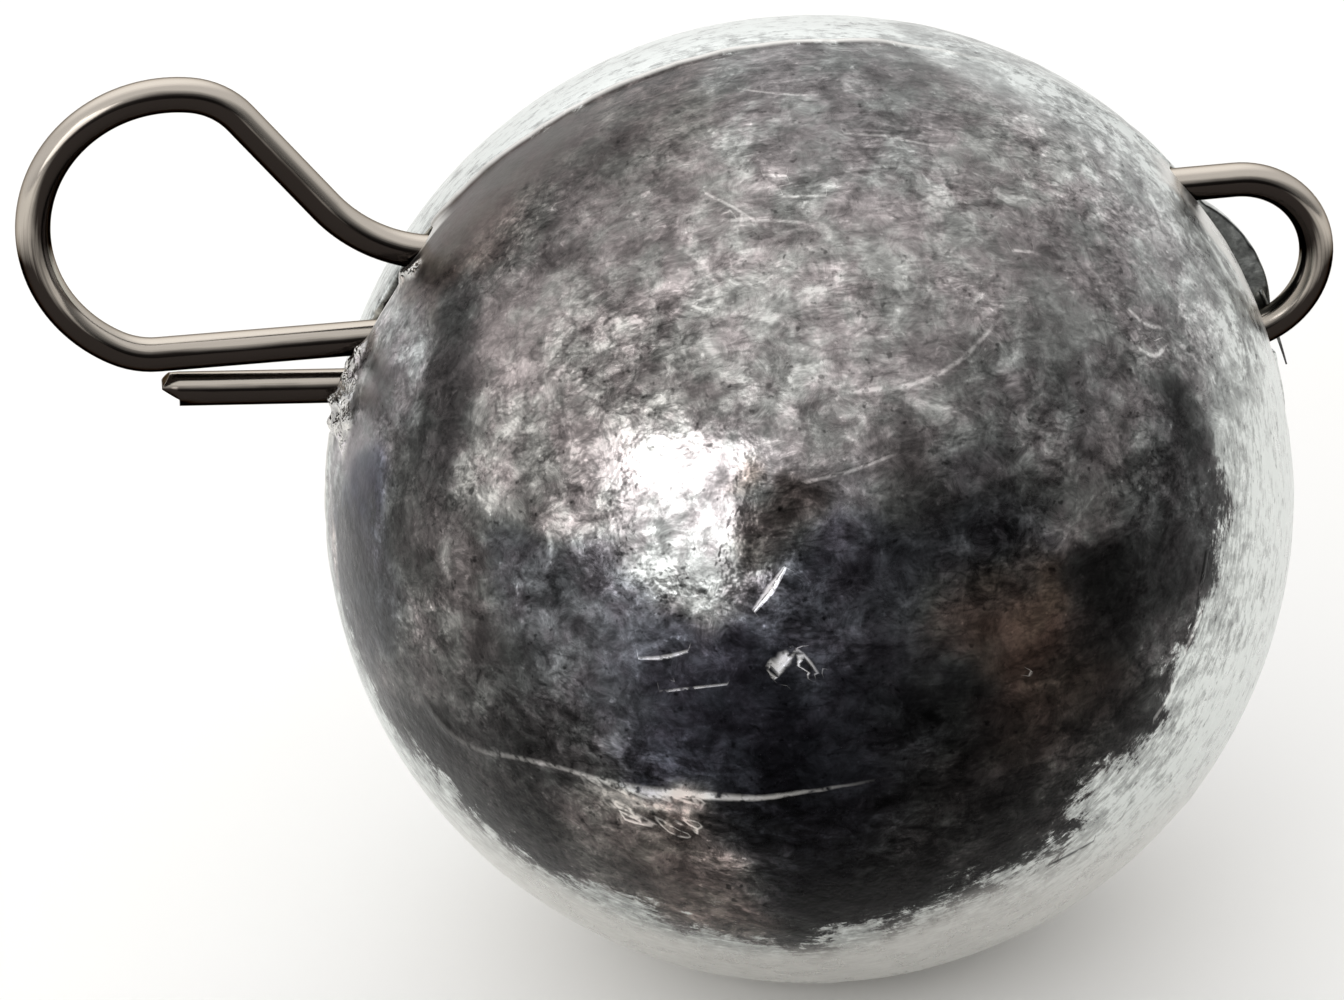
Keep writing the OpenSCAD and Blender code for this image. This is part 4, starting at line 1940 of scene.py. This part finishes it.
    def surface(self) -> tuple[Array, Array]:
        """The wire as rings along its centreline, with both nipped noses.

        Returns:
            Points by ring and side, and each ring's distance along the wire.
        """
        poses = self.centreline()
        around = np.linspace(0, 2 * math.pi, self.sides, endpoint=False)
        radius = self.wire_d / 2 - self.skin_margin
        ring = radius * np.stack([np.cos(around), np.sin(around)], 1)
        heading = np.radians(poses[:, 2])
        left = np.stack([-np.sin(heading), np.zeros_like(heading), np.cos(heading)], 1)
        base = np.stack([poses[:, 0], np.zeros_like(heading), poses[:, 1]], 1)
        rings = base[:, None, :] + ring[None, :, :1] * left[:, None, :]
        rings = rings + ring[None, :, 1:] * np.array([0, 1, 0])
        first = self.nose(poses[0], -1, self.nose_edge_off, ring)[1:][::-1]
        last = self.nose(poses[-1], 1, -self.nose_edge_off, ring)[1:]
        points = np.concatenate([first, rings, last])
        middle = points.mean(1)
        walked = np.concatenate([[0], np.cumsum(np.linalg.norm(np.diff(middle, axis=0), axis=1))])
        return points, walked

    def painted_light_side(self, points: Array) -> Array:
        """How much each point faces the side that is painted as lit, from -1 to 1.

        The side across the wire that faces up, or left where the wire stands upright, takes painted
        light and the other side painted shade. The near face counts in part, so that it lies
        between the two.

        Args:
            points: points by ring and side.

        Returns:
            One value for each point.
        """
        middle = points.mean(1)
        along = unit(np.gradient(middle, axis=0))
        across = np.stack([-along[:, Axis.Z], along[:, Axis.Y], along[:, Axis.X]], 1)
        side = np.clip(across @ np.array(self.lit_side), -1, 1)
        normal = (points - middle[:, None, :]) / (self.wire_d / 2)
        turned = np.sum(normal * across[:, None, :], -1)
        near = self.near_share * across[:, None, Axis.Z] * normal[..., Axis.Y]
        return (side[:, None] * (turned + near)).ravel()

    def build(self) -> list[bpy.types.Object]:
        """Makes the wire, gives it its finish and puts it in the frame.

        Its UV map holds millimetres: the way along the wire, and the way round it.

        Returns:
            The one piece.
        """
        points, walked = self.surface()
        rows, columns = points.shape[:2]
        faces = sewn(ring_faces(rows, columns, closed=False), rows, columns)
        lifted = points.reshape(-1, 3) + np.array([0, 0, self.ball_z])
        # The attribute gives each point's share of the side painted as lit against the side painted
        # as shaded.
        piece = mesh_object("spring_wire_clip", lifted, faces, {"painted_light_side": self.painted_light_side(points)})
        girth = math.pi * self.wire_d
        loops = np.empty(len(piece.data.loops), np.int32)
        piece.data.loops.foreach_get("vertex_index", loops)
        row, column = np.divmod(loops, columns)
        # Corners 1 and 2 of a face lie one column on, so at column 0 they have come full circle.
        corner = np.arange(len(loops)) % 4
        closing = (column == 0) & ((corner == 1) | (corner == 2))
        turned = np.where(closing, girth, column * girth / columns)
        layer = piece.data.uv_layers.new(name="wire_mm")
        layer.data.foreach_set("uv", np.stack([walked[row], turned], 1).astype(np.float32).ravel())
        piece.data.materials.append(self.finish.material())
        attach(piece, "clip")
        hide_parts("wire_clip")
        return [piece]


# The studio


@dataclass(frozen=True)
class RoomPart:
    """A part of the room round the sinker, by the direction in which it lies.

    Its level eases from dim to bright as the cosine between a direction and its own goes from
    low to high.
    """

    towards: Point
    low: float
    high: float
    dim: float
    bright: float


@dataclass(frozen=True)
class Studio:
    """Pale board, soft light and the photograph's point of view.

    The camera looks from azimuth and elevation at the ball's centre, rolled a little, and is
    then turned about itself until that centre lands on its pixel. Azimuths are degrees left of
    -Y, and closeness is the ball's radius over the camera's distance.
    """

    ball_r: float = 12.8
    ball_z: float = 12.4435
    azimuth: float = 7.87
    elevation: float = 26.7
    roll: float = -1.36
    closeness: float = 0.10
    picture: tuple[int, int] = (1344, 1000)
    centre_px: tuple[float, float] = (808, 499)
    radius_px: float = 484
    sensor_mm: float = 36.0
    sight_m: tuple[float, float] = (0.01, 20.0)
    board: WhiteBoard = field(default_factory=WhiteBoard)
    board_half_mm: float = 1500.0
    # A soft window to the camera's left: its place, its width and height as the ball sees them in
    # degrees, the brightness of its face, where 1 is white, and its distance.
    window_azimuth: float = 39.87
    window_elevation: float = 22.0
    window_span: tuple[float, float] = (27.0, 32.0)
    window_level: float = 2.4
    window_distance_m: float = 0.7
    # The tent is bright overhead and behind and dims towards the front, the corner takes light
    # away low on the right, and the skylight adds some from above.
    tent: RoomPart = RoomPart((-0.15, 0.45, 0.88), -0.45, 0.35, 0.3, 1.0)
    corner: RoomPart = RoomPart((0.64, -0.763, -0.087), 0.6, 0.9, 1.0, 0.5)
    skylight: RoomPart = RoomPart((-0.1, 0.6, 0.79), 0.6, 0.98, 0.0, 0.7)

    def towards(self, azimuth: float, elevation: float) -> Array:
        """Unit vector to a place seen from the ball, at degrees left of -Y and above level."""
        a, e = math.radians(azimuth), math.radians(elevation)
        return np.array([-math.sin(a) * math.cos(e), -math.cos(a) * math.cos(e), math.sin(e)])

    def camera(self) -> bpy.types.Object:
        """Places the camera so that the ball fills the same pixels as in the photograph.

        With closeness k = ball radius / distance, the ball's outline has the half-angle asin(k),
        which gives the focal length in pixels as radius_px / tan(asin(k)).

        Returns:
            The camera.
        """
        focal = self.radius_px / math.tan(math.asin(self.closeness))
        back = self.towards(self.azimuth, self.elevation)
        a, t = math.radians(self.azimuth), math.radians(self.roll)
        right = np.array([math.cos(a), -math.sin(a), 0])
        up = np.cross(right, -back)
        right, up = math.cos(t) * right + math.sin(t) * up, math.cos(t) * up - math.sin(t) * right
        basis = Matrix(np.stack([right, up, back], 1).tolist())
        across = (self.centre_px[0] - self.picture[0] / 2) / focal
        rise = -(self.centre_px[1] - self.picture[1] / 2) / focal
        aim = unit(np.array([across, rise, -1.0]))
        straight = np.array([0, 0, -1.0])
        axis = unit(np.cross(aim, straight))
        sight = Matrix.Rotation(math.acos(aim @ straight), 3, axis.tolist())
        data = bpy.data.cameras.new("studio_camera")
        data.sensor_width = self.sensor_mm
        data.lens = focal * self.sensor_mm / self.picture[0]
        data.clip_start, data.clip_end = self.sight_m
        made = bpy.data.objects.new("studio_camera", data)
        bpy.context.scene.collection.objects.link(made)
        spot = back * self.ball_r / self.closeness + np.array([0, 0, self.ball_z])
        made.matrix_world = Matrix.Translation((spot * MM).tolist()) @ (basis @ sight).to_4x4()
        bpy.context.scene.camera = made
        return made

    def window(self) -> bpy.types.Object:
        """Adds the window, which faces the ball.

        A side is 2 d tan(span / 2) at distance d, and the power level * pi * area makes its face
        shine at the given level.

        Returns:
            The lamp.
        """
        distance = self.window_distance_m
        width, height = (2 * distance * math.tan(math.radians(a / 2)) for a in self.window_span)
        data = bpy.data.lights.new("window_lamp", "AREA")
        data.shape = "RECTANGLE"
        data.size, data.size_y = width, height
        data.energy = self.window_level * math.pi * width * height
        made = bpy.data.objects.new("window_lamp", data)
        bpy.context.scene.collection.objects.link(made)
        away = self.towards(self.window_azimuth, self.window_elevation)
        spot = away * distance + np.array([0, 0, self.ball_z * MM])
        right = unit(np.cross([0, 0, 1.0], away))
        basis = Matrix(np.stack([right, np.cross(away, right), away], 1).tolist())
        made.matrix_world = Matrix.Translation(spot.tolist()) @ basis.to_4x4()
        made.visible_camera = False
        return made

    def room(self) -> None:
        """Lights the room: the level in a direction is tent * corner + skylight."""
        world = bpy.data.worlds.new("studio_tent")
        bpy.context.scene.world = world
        world.use_nodes = True
        tree = world.node_tree
        tree.nodes.clear()
        direction = add_node(tree, "ShaderNodeTexCoord", output="Generated")
        levels = []
        for part in (self.tent, self.corner, self.skylight):
            facing = add_node(
                tree,
                "ShaderNodeVectorMath",
                {"operation": "DOT_PRODUCT"},
                {0: direction, 1: part.towards},
                output="Value",
            )
            levels.append(
                add_node(
                    tree,
                    "ShaderNodeMapRange",
                    {"interpolation_type": "SMOOTHSTEP"},
                    {
                        "Value": facing,
                        "From Min": part.low,
                        "From Max": part.high,
                        "To Min": part.dim,
                        "To Max": part.bright,
                    },
                )
            )
        level = add_node(
            tree,
            "ShaderNodeMath",
            {"operation": "MULTIPLY_ADD"},
            dict(enumerate(levels)),
        )
        white = (1, 1, 1, 1)
        shader = add_node(tree, "ShaderNodeBackground", {}, {"Color": white, "Strength": level})
        add_node(tree, "ShaderNodeOutputWorld", {}, {"Surface": shader})

    def floor(self) -> bpy.types.Object:
        """Lays the board under the sinker.

        Returns:
            The board.
        """
        square = self.board_half_mm * np.array([(-1, -1, 0), (1, -1, 0), (1, 1, 0), (-1, 1, 0)])
        made = mesh_object("studio_board", square, np.array([[0, 1, 2, 3]]), {})
        made.data.materials.append(self.board.material())
        return made

    def build(self) -> None:
        """Sets the whole studio."""
        self.floor()
        self.room()
        self.window()
        self.camera()
        bpy.context.scene.view_settings.view_transform = "Standard"


def main() -> None:
    """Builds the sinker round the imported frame, and reports each piece."""
    logging.basicConfig(level=logging.INFO, format="%(name)s: %(message)s")
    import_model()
    for maker in (CastBall(), SpringClip()):
        for piece in maker.build():
            counts = len(piece.data.vertices), len(piece.data.polygons)
            log.info("%s: %d vertices, %d faces", piece.name, *counts)
    Studio().build()
    log.info("studio set")


if __name__ == "__main__":
    main()
